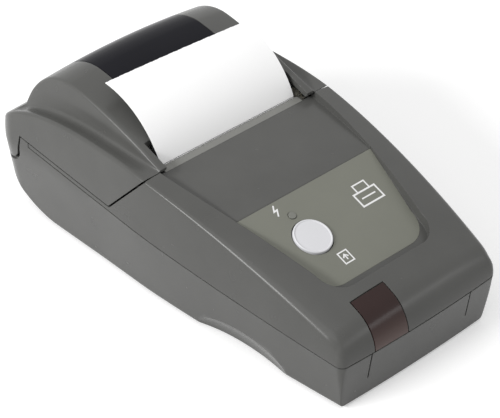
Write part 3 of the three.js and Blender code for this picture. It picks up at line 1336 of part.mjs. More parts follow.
// Folded sheet frame of the mechanism, open at the top where the platen drops in
const FRAME_OVER_AXIS = 2.5;
const FRAME_TOP = PLATEN_HEIGHT + FRAME_OVER_AXIS;
const FRAME_BEHIND_AXIS = 4.95;
const FRAME_REAR = PLATEN_Y + FRAME_BEHIND_AXIS;
const FRAME_FOOT_SLANT = 5;
function frameSide(x0, x1) {
  const outline = [
    [FRAME_FRONT, FRAME_FLOOR],
    [FRAME_FLOOR_REAR + FRAME_FOOT_SLANT, FRAME_FLOOR],
    [FRAME_REAR, IDLER_HEIGHT],
    [FRAME_REAR, FRAME_TOP],
    [FRAME_FRONT, FRAME_TOP],
  ];
  const plate = slabAlongX(outline, x0, x1);
  const radius = BUSH_RADIUS + CLEARANCE;
  const lean = (HINGE_HEIGHT - PLATEN_HEIGHT) / (HINGE_Y - PLATEN_Y);
  const rise = FRAME_TOP + OVERRUN - PLATEN_HEIGHT;
  const notch = [
    ...arcPoints(PLATEN_Y, PLATEN_HEIGHT, radius, 180, 360, 10),
    [PLATEN_Y + radius * 1.15 - rise * lean, PLATEN_HEIGHT + rise],
    [PLATEN_Y - radius * 1.05 - rise * lean, PLATEN_HEIGHT + rise],
  ];
  return plate.subtract(slabAlongX(notch, x0 - OVERRUN, x1 + OVERRUN));
}

// Ribbon cable of the print head, and the window that lets it through the front of the frame
const HEAD_SIDE_SET = 0.2;
const HEAD_HALF_WIDTH = PLATEN_HALF_WIDTH - HEAD_SIDE_SET;
const FLEX_SIDE_SET = 1.7;
const FLEX_WIDTH = 13.5;
const FLEX_LEFT = -HEAD_HALF_WIDTH + FLEX_SIDE_SET;
const FLEX_RIGHT = FLEX_LEFT + FLEX_WIDTH;
const FLEX_ROOM = 1.5;
const WINDOW_SILL = 3.6;
const FRAME_WINDOW_BOTTOM = FRAME_FLOOR + WINDOW_SILL;
const FLEX_WINDOW_HEIGHT = 9.5;
const FLEX_WINDOW_TOP = FRAME_WINDOW_BOTTOM + FLEX_WINDOW_HEIGHT;
const LIGHT_WINDOW_LEFT = -8;
const LIGHT_WINDOW_RIGHT = 14;
const LIGHT_WINDOW_HEIGHT = 6;
const LIGHT_WINDOW_TOP = FRAME_WINDOW_BOTTOM + LIGHT_WINDOW_HEIGHT;

function makeMechanismFrame() {
  const right = frameSide(FRAME_INNER, FRAME_INNER + FRAME_PLATE);
  const left = frameSide(-FRAME_INNER - FRAME_PLATE, -FRAME_INNER);
  const outer = FRAME_INNER + FRAME_PLATE;
  const front = FRAME_FRONT;
  const floor = block(-outer, outer, front, FRAME_FLOOR_REAR, FRAME_FLOOR, FRAME_FLOOR + FRAME_PLATE);
  const wall = block(-outer, outer, front, front + FRAME_PLATE, FRAME_FLOOR, FRAME_TOP);
  const window = (x0, x1, top) => (
    block(x0, x1, front - OVERRUN, front + FRAME_PLATE + OVERRUN, FRAME_WINDOW_BOTTOM, top)
  );
  const flexWindow = window(FLEX_LEFT - FLEX_ROOM, FLEX_RIGHT + FLEX_ROOM, FLEX_WINDOW_TOP);
  const lightening = window(LIGHT_WINDOW_LEFT, LIGHT_WINDOW_RIGHT, LIGHT_WINDOW_TOP);
  const shaftHole = rodAlongX(SHAFT_RADIUS + CLEARANCE, 0, FAR, MOTOR_Y, MOTOR_HEIGHT, 20);
  const axleHole = rodAlongX(AXLE_RADIUS + CLEARANCE, 0, FAR, IDLER_Y, IDLER_HEIGHT, 16);
  return cutBy(joined(right, left, floor, wall), flexWindow, lightening, shaftHole, axleHole);
}

const HEAD_FACE = TEAR_Y - PAPER_SHEET / 2 - CLEARANCE;
const HEAD_THICKNESS = 0.8;
const HEAD_PLATE_THICKNESS = 2.4;
const HEAD_OVER_AXIS = 3.2;
const HEAD_UNDER_AXIS = 4.8;
const HEAD_TOP = PLATEN_HEIGHT + HEAD_OVER_AXIS;
const HEAD_BOTTOM = PLATEN_HEIGHT - HEAD_UNDER_AXIS;
const HEAD_PLATE_BELOW = 2;
const HEAD_PLATE_BOTTOM = HEAD_BOTTOM - HEAD_PLATE_BELOW;
const headPlateRear = HEAD_FACE - HEAD_THICKNESS - CLEARANCE;
const headPlateFront = headPlateRear - HEAD_PLATE_THICKNESS;

const FIN_COUNT = 5;
const FIN_HEIGHT = 0.8;
const FIN_DEPTH = 1.2;
const FIN_LOW_SET = 1.2;
const FIN_HIGH_SET = 2;
const FIN_SIDE_SET = 2;

function makeHeadPlate() {
  const half = HEAD_HALF_WIDTH;
  const plate = block(-half, half, headPlateFront, headPlateRear, HEAD_PLATE_BOTTOM, HEAD_TOP);
  const fins = span(FIN_COUNT).map((k) => {
    const z = mix(HEAD_PLATE_BOTTOM + FIN_LOW_SET, HEAD_TOP - FIN_HIGH_SET, k / (FIN_COUNT - 1));
    return block(
      FIN_SIDE_SET - half,
      half - FIN_SIDE_SET,
      headPlateFront - FIN_DEPTH,
      headPlateFront + HEAD_PLATE_THICKNESS / 6,
      z,
      z + FIN_HEIGHT,
    );
  });
  return joined(plate, ...fins);
}

// Leaf spring between the front of the frame and the fins, which presses the head on the platen
const SPRING_SHEET = 0.5;
const SPRING_HALF_WIDTH = 11;
const SPRING_FOOT_DROP = 15;
const SPRING_FOLD_DROP = 4.4;
const SPRING_LOW_DROP = 8;
const SPRING_TOP_RISE = 1.4;
const SPRING_SLANT = 1;
const SPRING_FOOT = PLATEN_HEIGHT - SPRING_FOOT_DROP;
const SPRING_FOLD = PLATEN_HEIGHT - SPRING_FOLD_DROP;
const SPRING_LOW = PLATEN_HEIGHT - SPRING_LOW_DROP;
const SPRING_TOP = PLATEN_HEIGHT + SPRING_TOP_RISE;
function makeHeadSpring() {
  const front = FRAME_FRONT + FRAME_PLATE + CLEARANCE;
  const rear = headPlateFront - FIN_DEPTH - CLEARANCE;
  const outline = [
    [front, SPRING_FOOT],
    [front + SPRING_SHEET, SPRING_FOOT],
    [front + SPRING_SHEET, SPRING_FOLD],
    [rear, SPRING_LOW],
    [rear, SPRING_TOP],
    [rear - SPRING_SHEET, SPRING_TOP],
    [rear - SPRING_SHEET, SPRING_LOW + SPRING_SLANT],
    [front, SPRING_FOLD + SPRING_SLANT],
  ];
  return slabAlongX(outline, -SPRING_HALF_WIDTH, SPRING_HALF_WIDTH);
}

// Drops below the platen axis and reaches of the ribbon cable on its way from the head to the board
const FLEX_TOP_DROP = 10;
const FLEX_MIDDLE_DROP = 12.4;
const FLEX_LOW_DROP = 13.6;
const FLEX_START_DROP = 14.2;
const FLEX_RUN_DROP = 14.6;
const FLEX_END_DROP = 14.8;
const FLEX_CURL = 0.6;
const FLEX_REACH = 1;
const FLEX_RUN = 6;
const FLEX_LANDING = 3.4;
function makeHeadFlex() {
  const headY = headPlateRear + HEAD_THICKNESS / 2;
  const line = [
    [headY, HEAD_BOTTOM - CLEARANCE - PAPER_SHEET],
    [headY, PLATEN_HEIGHT - FLEX_TOP_DROP],
    [headPlateRear - FLEX_CURL, PLATEN_HEIGHT - FLEX_MIDDLE_DROP],
    [headPlateFront - FLEX_REACH, PLATEN_HEIGHT - FLEX_LOW_DROP],
    [FRAME_FRONT, PLATEN_HEIGHT - FLEX_START_DROP],
    [FRAME_FRONT - FLEX_RUN, PLATEN_HEIGHT - FLEX_RUN_DROP],
    [BOARD_REAR - FLEX_LANDING, PLATEN_HEIGHT - FLEX_END_DROP],
  ];
  return paperStrip(line, FLEX_LEFT, FLEX_RIGHT);
}

const MOTOR_BOSS = 1;
const MOTOR_BORE_DEPTH = 6;
const AXLE_PROUD = 0.4;

function addMechanism() {
  addPart('mechanism_frame', makeMechanismFrame(), STEEL);
  addPart('head_plate', makeHeadPlate(), { color: 0xa9adb2, roughness: 0.4, metalness: 0.85 });
  const ceramic = block(
    -HEAD_HALF_WIDTH,
    HEAD_HALF_WIDTH,
    HEAD_FACE - HEAD_THICKNESS,
    HEAD_FACE,
    HEAD_BOTTOM,
    HEAD_TOP,
  );
  addPart('print_head', ceramic, { color: 0xcfc8b8, roughness: 0.3, metalness: 0 });
  addPart('head_spring', makeHeadSpring(), STEEL);
  addPart('head_flex', makeHeadFlex(), { color: 0xc98a35, roughness: 0.5, metalness: 0 });

  const motorRight = FRAME_INNER - CLEARANCE;
  const motorLeft = motorRight - MOTOR_LENGTH;
  const motor = joined(
    rodAlongX(MOTOR_RADIUS, motorLeft, motorRight, MOTOR_Y, MOTOR_HEIGHT, 24),
    rodAlongX(SHAFT_RADIUS, motorLeft - MOTOR_BOSS, motorRight - MOTOR_BOSS, MOTOR_Y, MOTOR_HEIGHT, 12),
  );
  const boreStart = motorRight - MOTOR_BORE_DEPTH;
  const motorBore = rodAlongX(AXLE_RADIUS + CLEARANCE, boreStart, FAR, MOTOR_Y, MOTOR_HEIGHT, 16);
  addPart('feed_motor', motor.subtract(motorBore), STEEL);
  const pinionPhase = meshPhase(MOTOR_DIRECTION, LARGE_TEETH, 0, PINION_TEETH);
  const pinion = joined(
    gear(PINION_TEETH, pinionPhase, SECOND_PLANE, GEAR_END, AXLE_RADIUS / 2),
    rodAlongX(AXLE_RADIUS, boreStart + CLEARANCE, GEAR_END, 0, 0, 16),
  );
  addPart('motor_pinion', pinion, BRASS).position.set(0, MOTOR_Y, MOTOR_HEIGHT);

  const smallPhase = meshPhase(IDLER_DIRECTION, PLATEN_TEETH, 0, SMALL_TEETH);
  const idler = joined(
    gear(SMALL_TEETH, smallPhase, GEAR_PLANE, SECOND_PLANE + GEAR_WIDTH * 0.2, AXLE_RADIUS + FIT_GAP),
    gear(LARGE_TEETH, 0, SECOND_PLANE, GEAR_END, AXLE_RADIUS + FIT_GAP),
  );
  addPart('reduction_gear', idler, { color: 0xe7e4da, roughness: 0.5, metalness: 0 })
    .position.set(0, IDLER_Y, IDLER_HEIGHT);
  const axleEnd = GEAR_END + AXLE_PROUD;
  const axle = rodAlongX(AXLE_RADIUS, FRAME_INNER - FRAME_PLATE, axleEnd, IDLER_Y, IDLER_HEIGHT, 16);
  addPart('gear_axle', axle, STEEL);
}

function addPlaten() {
  const shaftLeft = -(FRAME_INNER + FRAME_PLATE + CLEARANCE * 2);
  const shaftRight = GEAR_PLANE + GEAR_WIDTH + CLEARANCE / 2;
  addPart('platen_shaft', rodAlongX(SHAFT_RADIUS, shaftLeft, shaftRight, 0, 0, 16), STEEL)
    .position.set(0, PLATEN_Y, PLATEN_HEIGHT);
  const rubber = rodAlongX(PLATEN_RADIUS, -PLATEN_HALF_WIDTH, PLATEN_HALF_WIDTH, 0, 0, 28)
    .subtract(rodAlongX(SHAFT_RADIUS + FIT_GAP, -FAR, FAR, 0, 0, 16));
  addPart('platen_roller', rubber, { color: 0x2b2b2d, roughness: 0.85, metalness: 0 })
    .position.set(0, PLATEN_Y, PLATEN_HEIGHT);
  const wheel = gear(PLATEN_TEETH, 0, GEAR_PLANE, GEAR_PLANE + GEAR_WIDTH, SHAFT_RADIUS + FIT_GAP);
  addPart('platen_gear', wheel, { color: 0xe7e4da, roughness: 0.5, metalness: 0 })
    .position.set(0, PLATEN_Y, PLATEN_HEIGHT);
  [['platen_bush_left', -1], ['platen_bush_right', 1]].forEach(([name, side]) => {
    const x0 = side > 0 ? FRAME_INNER : -FRAME_INNER - FRAME_PLATE;
    const ring = rodAlongX(BUSH_RADIUS, x0, x0 + FRAME_PLATE, 0, 0, 20)
      .subtract(rodAlongX(SHAFT_RADIUS + FIT_GAP, -FAR, FAR, 0, 0, 16));
    addPart(name, ring, BRASS).position.set(0, PLATEN_Y, PLATEN_HEIGHT);
  });
}

function addPaper() {
  const finish = PAPER_FINISH;
  addPart('paper_roll', makePaperRoll(), finish).position.set(0, ROLL_Y, ROLL_HEIGHT);
  addPart('roll_core', makeRollCore(), { color: 0xb79a74, roughness: 0.9, metalness: 0 })
    .position.set(0, ROLL_Y, ROLL_HEIGHT);
  const half = PAPER_WIDTH / 2;
  addPart('paper_web', paperStrip(webLine(), -half, half), finish);
  addPart('paper_tail', makePaperTail(), finish);
}

// Small board square under the key, with the switch that the button presses
const KEY_BOARD_THICKNESS = 1.2;
const SWITCH_HEIGHT = 3.4;
const SWITCH_SIDE = 6;
const STEM_RADIUS = 2.2;
const FLANGE_REACH = 0.9;
const FLANGE_THICKNESS = 1;
const BUTTON_SHOULDER = 0.5;
const BUTTON_EDGE = 0.2;
const BUTTON_EDGE_DROP = 0.1;
const BUTTON_RIM = 0.7;
const BUTTON_DOME = 0.25;
const LIGHT_PROUD = 0.22;
function buttonProfile() {
  const flange = BUTTON_RADIUS + HOLE_GAP + FLANGE_REACH;
  const flangeTop = -FLOOR_BACKING - LABEL_POCKET - CLEARANCE * 2;
  const stemEnd = SWITCH_HEIGHT - KEY_BOARD_DEPTH - CLEARANCE + BUTTON_TRAVEL + FIT_GAP;
  return [
    new THREE.Vector2(0, stemEnd),
    new THREE.Vector2(STEM_RADIUS, stemEnd),
    new THREE.Vector2(STEM_RADIUS, flangeTop - FLANGE_THICKNESS),
    new THREE.Vector2(flange, flangeTop - FLANGE_THICKNESS),
    new THREE.Vector2(flange, flangeTop),
    new THREE.Vector2(BUTTON_RADIUS, flangeTop),
    new THREE.Vector2(BUTTON_RADIUS, BUTTON_PROUD - BUTTON_SHOULDER),
    new THREE.Vector2(BUTTON_RADIUS - BUTTON_EDGE, BUTTON_PROUD - BUTTON_EDGE_DROP),
    new THREE.Vector2(BUTTON_RADIUS - BUTTON_RIM, BUTTON_PROUD),
    new THREE.Vector2(0, BUTTON_PROUD + BUTTON_DOME),
  ];
}

function addKeyGroup() {
  const boardTop = -KEY_BOARD_DEPTH;
  const cap = new THREE.LatheGeometry(buttonProfile(), 26);
  cap.rotateX(Math.PI / 2);
  addPart('feed_button', solid(cap), { color: 0xd7d8e0, roughness: 0.35, metalness: 0 }, labelFrame)
    .position.set(BUTTON_X, -BUTTON_DOWN, 0);
  const board = new THREE.BoxGeometry(KEY_BOARD_WIDTH, KEY_BOARD_LENGTH, KEY_BOARD_THICKNESS);
  addPart('key_board', board, BOARD_GREEN, labelFrame)
    .position.set(BUTTON_X, -KEY_BOARD_DOWN, boardTop - KEY_BOARD_THICKNESS / 2);
  const switchBody = new THREE.BoxGeometry(SWITCH_SIDE, SWITCH_SIDE, SWITCH_HEIGHT - CLEARANCE * 2);
  addPart('key_switch', switchBody, DARK_PLASTIC, labelFrame)
    .position.set(BUTTON_X, -BUTTON_DOWN, boardTop + SWITCH_HEIGHT / 2);
  const pipeLength = KEY_BOARD_DEPTH + LIGHT_PROUD - CLEARANCE;
  const pipe = new THREE.CylinderGeometry(LIGHT_RADIUS, LIGHT_RADIUS, pipeLength, 20);
  pipe.rotateX(Math.PI / 2);
  addPart('indicator_light', pipe, { color: 0x9da39c, roughness: 0.25, metalness: 0 }, labelFrame)
    .position.set(LIGHT_X, -LIGHT_DOWN, LIGHT_PROUD - pipeLength / 2);
}

// Parts on the main board, by size, place of the centre and height
const CHIP_HEIGHT = 1.6;
const MAIN_CHIP_SIDE = 12;
const MAIN_CHIP_X = 8;
const MAIN_CHIP_Y = -46;
const DRIVER_CHIP_WIDTH = 8;
const DRIVER_CHIP_LENGTH = 6;
const DRIVER_CHIP_X = -18;
const DRIVER_CHIP_Y = -31;
const CAPACITOR_RADIUS = 3.2;
const CAPACITOR_HEIGHT = 6.4;
const CAPACITOR_X = 18;
const CAPACITOR_Y = -26;
const CONNECTOR_MARGIN = 0.3;
const CONNECTOR_LENGTH = 4;
const CONNECTOR_HEIGHT = 0.9;
const TRANSCEIVER_WIDTH = 10;
const TRANSCEIVER_LENGTH = 4;
const TRANSCEIVER_HEIGHT = 3;
const TRANSCEIVER_SET = 0.4;

// Box that stands on the main board, by its centre in plan and its three sizes
function onBoard(x, y, width, length, height) {
  const seat = BOARD_BOTTOM + BOARD_THICKNESS + CLEARANCE;
  return block(x - width / 2, x + width / 2, y - length / 2, y + length / 2, seat, seat + height);
}

function addElectronics() {
  const half = BOARD_HALF_WIDTH;
  const top = BOARD_BOTTOM + BOARD_THICKNESS;
  const seat = top + CLEARANCE;
  const board = block(-half, half, BOARD_FRONT, BOARD_REAR, BOARD_BOTTOM, top);
  addPart('main_board', board, BOARD_GREEN);
  const mainChip = onBoard(MAIN_CHIP_X, MAIN_CHIP_Y, MAIN_CHIP_SIDE, MAIN_CHIP_SIDE, CHIP_HEIGHT);
  addPart('main_chip', mainChip, DARK_PLASTIC);
  const driver = onBoard(DRIVER_CHIP_X, DRIVER_CHIP_Y, DRIVER_CHIP_WIDTH, DRIVER_CHIP_LENGTH, CHIP_HEIGHT);
  addPart('driver_chip', driver, DARK_PLASTIC);
  const canTop = seat + CAPACITOR_HEIGHT;
  const capacitor = rodAlongZ(CAPACITOR_RADIUS, seat, canTop, CAPACITOR_X, CAPACITOR_Y, 20);
  addPart('board_capacitor', capacitor, DARK_PLASTIC);
  const flexMiddle = (FLEX_LEFT + FLEX_RIGHT) / 2;
  const connectorY = BOARD_REAR - FLEX_LANDING;
  const connectorWidth = FLEX_RIGHT - FLEX_LEFT + CONNECTOR_MARGIN * 2;
  const connector = onBoard(flexMiddle, connectorY, connectorWidth, CONNECTOR_LENGTH, CONNECTOR_HEIGHT);
  addPart('flex_connector', connector, { color: 0xe8e2cf, roughness: 0.5, metalness: 0 });
  const transceiverX = (LINK_WINDOW_LEFT + LINK_WINDOW_RIGHT) / 2;
  const transceiverY = BOARD_FRONT + TRANSCEIVER_SET + TRANSCEIVER_LENGTH / 2;
  const size = [TRANSCEIVER_WIDTH, TRANSCEIVER_LENGTH, TRANSCEIVER_HEIGHT];
  addPart('link_transceiver', onBoard(transceiverX, transceiverY, ...size), DARK_PLASTIC);
}

const SOCKET_BACK_WALL = 1.6;
const POWER_PIN_ROOT = 1;
const POWER_PIN_SET = 1.6;
const SOCKET_BOARD_INNER = 3;
const SOCKET_BOARD_OUTER = 4.5;
const SOCKET_BOARD_MARGIN = 0.4;

// Socket housing, cut to the inner face of the side wall
function socketBody(centreY, width, height) {
  return block(
    SOCKET_BACK_X,
    SOCKET_FACE_X,
    centreY - width / 2,
    centreY + width / 2,
    DATA_BOTTOM,
    DATA_BOTTOM + height,
  ).intersect(hull(WALL + CLEARANCE, INNER_DETAIL));
}

function addSockets() {
  const mouthLow = DATA_BOTTOM + (DATA_HEIGHT - DATA_MOUTH_HEIGHT) / 2;
  const back = SOCKET_BACK_X + SOCKET_BACK_WALL;
  const mouth = block(
    back,
    FAR,
    DATA_Y - DATA_MOUTH_WIDTH / 2,
    DATA_Y + DATA_MOUTH_WIDTH / 2,
    mouthLow,
    mouthLow + DATA_MOUTH_HEIGHT,
  );
  addPart('data_socket', socketBody(DATA_Y, DATA_WIDTH, DATA_HEIGHT).subtract(mouth), DARK_PLASTIC);
  const axis = DATA_BOTTOM + POWER_HEIGHT / 2;
  const bored = socketBody(POWER_Y, POWER_WIDTH, POWER_HEIGHT)
    .subtract(rodAlongX(POWER_BORE, back, FAR, POWER_Y, axis, 16));
  const pinStart = SOCKET_BACK_X + POWER_PIN_ROOT;
  const pin = rodAlongX(POWER_PIN, pinStart, SOCKET_FACE_X - POWER_PIN_SET, POWER_Y, axis, 12);
  addPart('power_socket', bored.add(pin), DARK_PLASTIC);
  addPart('socket_board', block(
    SOCKET_BACK_X - SOCKET_BOARD_INNER,
    SOCKET_FACE_X - SOCKET_BOARD_OUTER,
    DATA_Y - DATA_WIDTH / 2 - SOCKET_BOARD_MARGIN,
    POWER_Y + POWER_WIDTH / 2 + SOCKET_BOARD_MARGIN,
    CASE_BOTTOM + WALL + CLEARANCE,
    DATA_BOTTOM - CLEARANCE,
  ), BOARD_GREEN);
}

const NUB_RADIUS = 2.7;
const NUB_LENGTH = 1.2;
const CONTACT_SHEET = 0.5;
const CONTACT_SIDE_SET = 1;
const CONTACT_HALF_HEIGHT = 5;
const CONTACT_TAB = 4;
const CONTACT_TAB_HEIGHT = 3;

// One round cell with its nub at the rear, or at the front when flipped
function makeCell(x, flipped) {
  const bodyFront = flipped ? CELL_FRONT + NUB_LENGTH : CELL_FRONT;
  const bodyRear = flipped ? CELL_REAR : CELL_REAR - NUB_LENGTH;
  const nubFront = flipped ? CELL_FRONT : CELL_REAR - NUB_LENGTH * 2;
  const nubRear = flipped ? CELL_FRONT + NUB_LENGTH * 2 : CELL_REAR;
  return rodAlongY(CELL_RADIUS, bodyFront, bodyRear, x, CELL_AXIS_HEIGHT, 20)
    .add(rodAlongY(NUB_RADIUS, nubFront, nubRear, x, CELL_AXIS_HEIGHT, 10));
}

// Contact strip across all cells, with one tab for each
function makeContact(sheetFront, tabFront, tabRear) {
  const half = WELL_HALF_WIDTH - CONTACT_SIDE_SET;
  const low = CELL_AXIS_HEIGHT - CONTACT_HALF_HEIGHT;
  const high = CELL_AXIS_HEIGHT + CONTACT_HALF_HEIGHT;
  const tabs = span(CELL_COUNT).map((index) => {
    const x = (index - (CELL_COUNT - 1) / 2) * CELL_PITCH;
    const reach = CONTACT_TAB / 2;
    const rise = CONTACT_TAB_HEIGHT / 2;
    return block(x - reach, x + reach, tabFront, tabRear, CELL_AXIS_HEIGHT - rise, CELL_AXIS_HEIGHT + rise);
  });
  return joined(block(-half, half, sheetFront, sheetFront + CONTACT_SHEET, low, high), ...tabs);
}

function addBatteries() {
  span(CELL_COUNT).forEach((index) => {
    const x = (index - (CELL_COUNT - 1) / 2) * CELL_PITCH;
    const finish = { color: 0x3d6ea5, roughness: 0.4, metalness: 0.3 };
    addPart(`battery_cell_${index + 1}`, makeCell(x, index % 2 === 1), finish);
  });
  const front = WELL_FRONT + CLEARANCE;
  const rear = WELL_REAR - CLEARANCE;
  addPart('battery_contact_front', makeContact(front, front, CELL_FRONT - CLEARANCE), STEEL);
  addPart('battery_contact_rear', makeContact(rear - CONTACT_SHEET, CELL_REAR + CLEARANCE, rear), STEEL);
}

const GRIP_COUNT = 5;
const GRIP_FRONT_SET = 5;
const GRIP_PITCH = 1.8;
const GRIP_WIDTH = 0.8;
const GRIP_DEPTH = 0.5;
const GRIP_HALF_LENGTH = 9;
function makeBatteryDoor() {
  const half = DOOR_HALF_WIDTH;
  const panel = block(-half, half, DOOR_FRONT, DOOR_AXIS_Y, CASE_BOTTOM, DOOR_TOP);
  const barrel = rodAlongX(DOOR_BARREL_RADIUS, -half, half, DOOR_AXIS_Y, DOOR_AXIS_HEIGHT, 20);
  const pinHalf = half + DOOR_PIN_LENGTH;
  const pin = rodAlongX(DOOR_PIN_RADIUS, -pinHalf, pinHalf, DOOR_AXIS_Y, DOOR_AXIS_HEIGHT, 12);
  const grip = span(GRIP_COUNT).map((k) => {
    const y = DOOR_FRONT + GRIP_FRONT_SET + k * GRIP_PITCH;
    const top = CASE_BOTTOM + GRIP_DEPTH;
    return block(-GRIP_HALF_LENGTH, GRIP_HALF_LENGTH, y, y + GRIP_WIDTH, CASE_BOTTOM - OVERRUN, top);
  });
  return cutBy(joined(panel, barrel, pin), ...grip);
}

const SCREW_TIP_RISE = 5.4;
const SCREW_SLOT_REACH = 1.3;
const SCREW_SLOT_HALF = 0.3;
const SCREW_SLOT_DEPTH = 0.6;

// Slotted screw that stands head down in its counterbore
function makeScrew(x, y) {
  const headTop = SCREW_SEAT - CLEARANCE;
  const headBottom = headTop - SCREW_HEAD_HEIGHT;
  const head = rodAlongZ(SCREW_HEAD_RADIUS, headBottom, headTop, x, y, 16);
  const tip = SCREW_BOSS_TOP + SCREW_TIP_RISE;
  const shank = rodAlongZ(SCREW_RADIUS, headTop - SCREW_HEAD_HEIGHT / 3, tip, x, y, 8);
  const slotTop = headBottom + SCREW_SLOT_DEPTH;
  const slot = block(
    x - SCREW_SLOT_REACH,
    x + SCREW_SLOT_REACH,
    y - SCREW_SLOT_HALF,
    y + SCREW_SLOT_HALF,
    0,
    slotTop,
  );
  return head.add(shank).subtract(slot);
}

function makeHingePin(side) {
  const inner = BASE_KNUCKLE_INNER + ARM_THICKNESS + CLEARANCE;
  const x0 = side > 0 ? inner : -HINGE_PIN_OUTER;
  const x1 = side > 0 ? HINGE_PIN_OUTER : -inner;
  return rodAlongX(HINGE_PIN_RADIUS, x0, x1, HINGE_Y, HINGE_HEIGHT, 20);
}

function addFasteners() {
  SCREW_PLACES.forEach(([side, x, y], index) => {
    addPart(`case_screw_${index + 1}`, makeScrew(side * x, y), STEEL);
  });
  FOOT_PLACES.forEach(([x, y, radius], index) => {
    const foot = rodAlongZ(radius, 0, CASE_BOTTOM + FOOT_SUNK - CLEARANCE, x, y, 16);
    addPart(`foot_${index + 1}`, foot, DARK_PLASTIC);
  });
  addPart('hinge_pin_left', makeHingePin(-1), STEEL);
  addPart('hinge_pin_right', makeHingePin(1), STEEL);
}

addPart('base_case', makeBase(), CASE_FINISH);
addPart('top_case', makeTopCase(), CASE_FINISH);
addPart('label_overlay', makeLabel(), { color: 0x77776d, roughness: 0.5, metalness: 0 });
addPart('tear_bar', makeTearBar(), { color: 0x7c7c78, roughness: 0.45, metalness: 0.2 });
addPart('link_window', makeLinkWindow(), { color: 0x372726, roughness: 0.15, metalness: 0 });
addPart('paper_cover', makePaperCover(), CASE_FINISH);
addPart('cover_window', makeCoverWindow(), { color: 0x35343a, roughness: 0.15, metalness: 0 });
addPart('roll_tray', makeRollTray(), CASE_FINISH);
addPart('battery_door', makeBatteryDoor(), CASE_FINISH);
addKeyGroup();
addPlaten();
addMechanism();
addPaper();
addElectronics();
addSockets();
addBatteries();
addFasteners();

export default model;
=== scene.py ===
# %% [markdown]
# # Portable receipt printer
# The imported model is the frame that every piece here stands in. The large shells are built again
# from the same formulas with many more points, because their smooth surfaces carry the whole look.

import json
import math

import bmesh
import bpy
import numpy as np
from mathutils import Matrix, Vector


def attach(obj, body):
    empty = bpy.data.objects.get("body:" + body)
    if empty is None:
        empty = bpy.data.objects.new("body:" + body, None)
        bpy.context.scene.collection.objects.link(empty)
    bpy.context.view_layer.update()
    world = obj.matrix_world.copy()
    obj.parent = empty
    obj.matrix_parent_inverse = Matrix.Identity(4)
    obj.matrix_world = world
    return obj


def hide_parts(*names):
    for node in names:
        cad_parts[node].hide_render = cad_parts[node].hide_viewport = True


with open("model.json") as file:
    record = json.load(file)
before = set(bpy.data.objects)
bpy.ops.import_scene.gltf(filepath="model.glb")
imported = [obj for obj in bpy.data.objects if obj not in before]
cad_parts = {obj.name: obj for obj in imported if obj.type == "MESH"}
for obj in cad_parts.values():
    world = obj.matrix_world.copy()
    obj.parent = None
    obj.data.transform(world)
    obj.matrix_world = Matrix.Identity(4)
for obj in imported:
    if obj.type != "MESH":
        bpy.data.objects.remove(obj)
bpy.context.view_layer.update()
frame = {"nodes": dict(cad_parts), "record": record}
nodes = frame["nodes"]
MM = 0.001

# %% [markdown]
# ## Sizes
# Most sizes are the ones the part was drawn with, in millimetres. X runs to the right seen from the
# front, the front faces -Y, and the object stands on Z = 0. The seams are a little wider than in
# the part, to show as a moulded case's thin dark lines, and the rounds follow the photo closer.

# %%
# Plan, walls and corners
CASE_FRONT = -79.3
CASE_REAR = 79.3
WAIST_HALF_WIDTH = 41.0
CASE_BOTTOM = 0.8
WALL = 2.0
BOTTOM_CORNER = 1.6
FRONT_CORNER = 2.4
REAR_CORNER = 10.0
FRONT_TAPER = 7.1
TAPER_POWER = 1.4
LOWER_DRAFT = 0.14
UPPER_DRAFT = 0.042
FRONT_LEAN = 2.6
FRONT_BOW = 0.9
BOW_REACH = 45.0
NOSE_RADIUS = 7.2
END_CAP_HALF = 0.15  # the flat strip that ends the form hides in the seam

# Hinge, belly and seams
HINGE_Y = 73.0
HINGE_HEIGHT = 28.0
KNUCKLE_RADIUS = 6.4
KNUCKLE_SPAN = (24.4, 29.8)
CRADLE_GAP = 1.15
PIN_BORE = 1.8
BELLY_START = 53.0
SEAM_FRONT_HEIGHT = 18.1
SEAM_SLOPE = 0.0925
SEAM_GAP = 0.38
COVER_GAP = 0.45

# Shoulder and top
RIDGE_TOP = 48.2
RIDGE_CREST_Y = 22.0
RIDGE_DROP = 23.0
RIDGE_POWER = 1.74
RIDGE_ROUND = 1.2
NOSE_ROUND = 3.6
SHOULDER_ARC_START = 30.0
SIDE_BULGE = 0.35
EDGE_CROWN = 0.9
EDGE_CROWN_BASE = 0.4
EDGE_CROWN_RUN = 0.1
FRONT_MID_CROWN = 0.4
TOP_POWER = 3.2
SMOOTH_REACH = 0.3

# Dome
COVER_FRONT = 3.2
DOME_TOP = 58.9
DOME_RISE = 11.2
DOME_CREST_Y = 46.6
DOME_POWER = 1.38
DOME_REAR_RUN = 25.6
DOME_CROWN = 1.9
DOME_EDGE_SHARE = 0.825
DOME_WALL_REFERENCE = 4.0
VALLEY_STEP = 1.0
VALLEY_DIP = 0.7

# Paper way, roll and fits
TEAR_Y = 8.0
SLOT_REAR = 13.6
SLOT_HALF_WIDTH = 30.4
SLOT_FLOOR = 43.0
PAPER_WIDTH = 57.5
ROLL_Y = 41.0
ROLL_HEIGHT = 33.0
ROLL_RADIUS = 21.5
ROLL_WIDTH = 57.0
CORE_RADIUS = 8.0
CORE_BORE = 6.6
CLEARANCE = 0.3
FIT_GAP = 0.25

# Label plane
CREASE_Y = -26.4
CREASE_HEIGHT = 42.2
LABEL_SLOPE = math.radians(20)
REAR_FLOOR_SLOPE = 2.9 / 34.4
BUTTON_PLACE = (-11.5, 17.2)
LIGHT_PLACE = (-11.6, 7.6)

# Beyond everything, for cuts
FAR = 160.0
SKY = 90.0
print("case length:", CASE_REAR - CASE_FRONT, "width:", 2 * WAIST_HALF_WIDTH)

# %% [markdown]
# ## Small tools for solids
# Every solid is a set of points in millimetres and a list of faces. A skin over a row of rings is
# closed by strips between mirrored points, which keeps the end faces as neat as the sides.

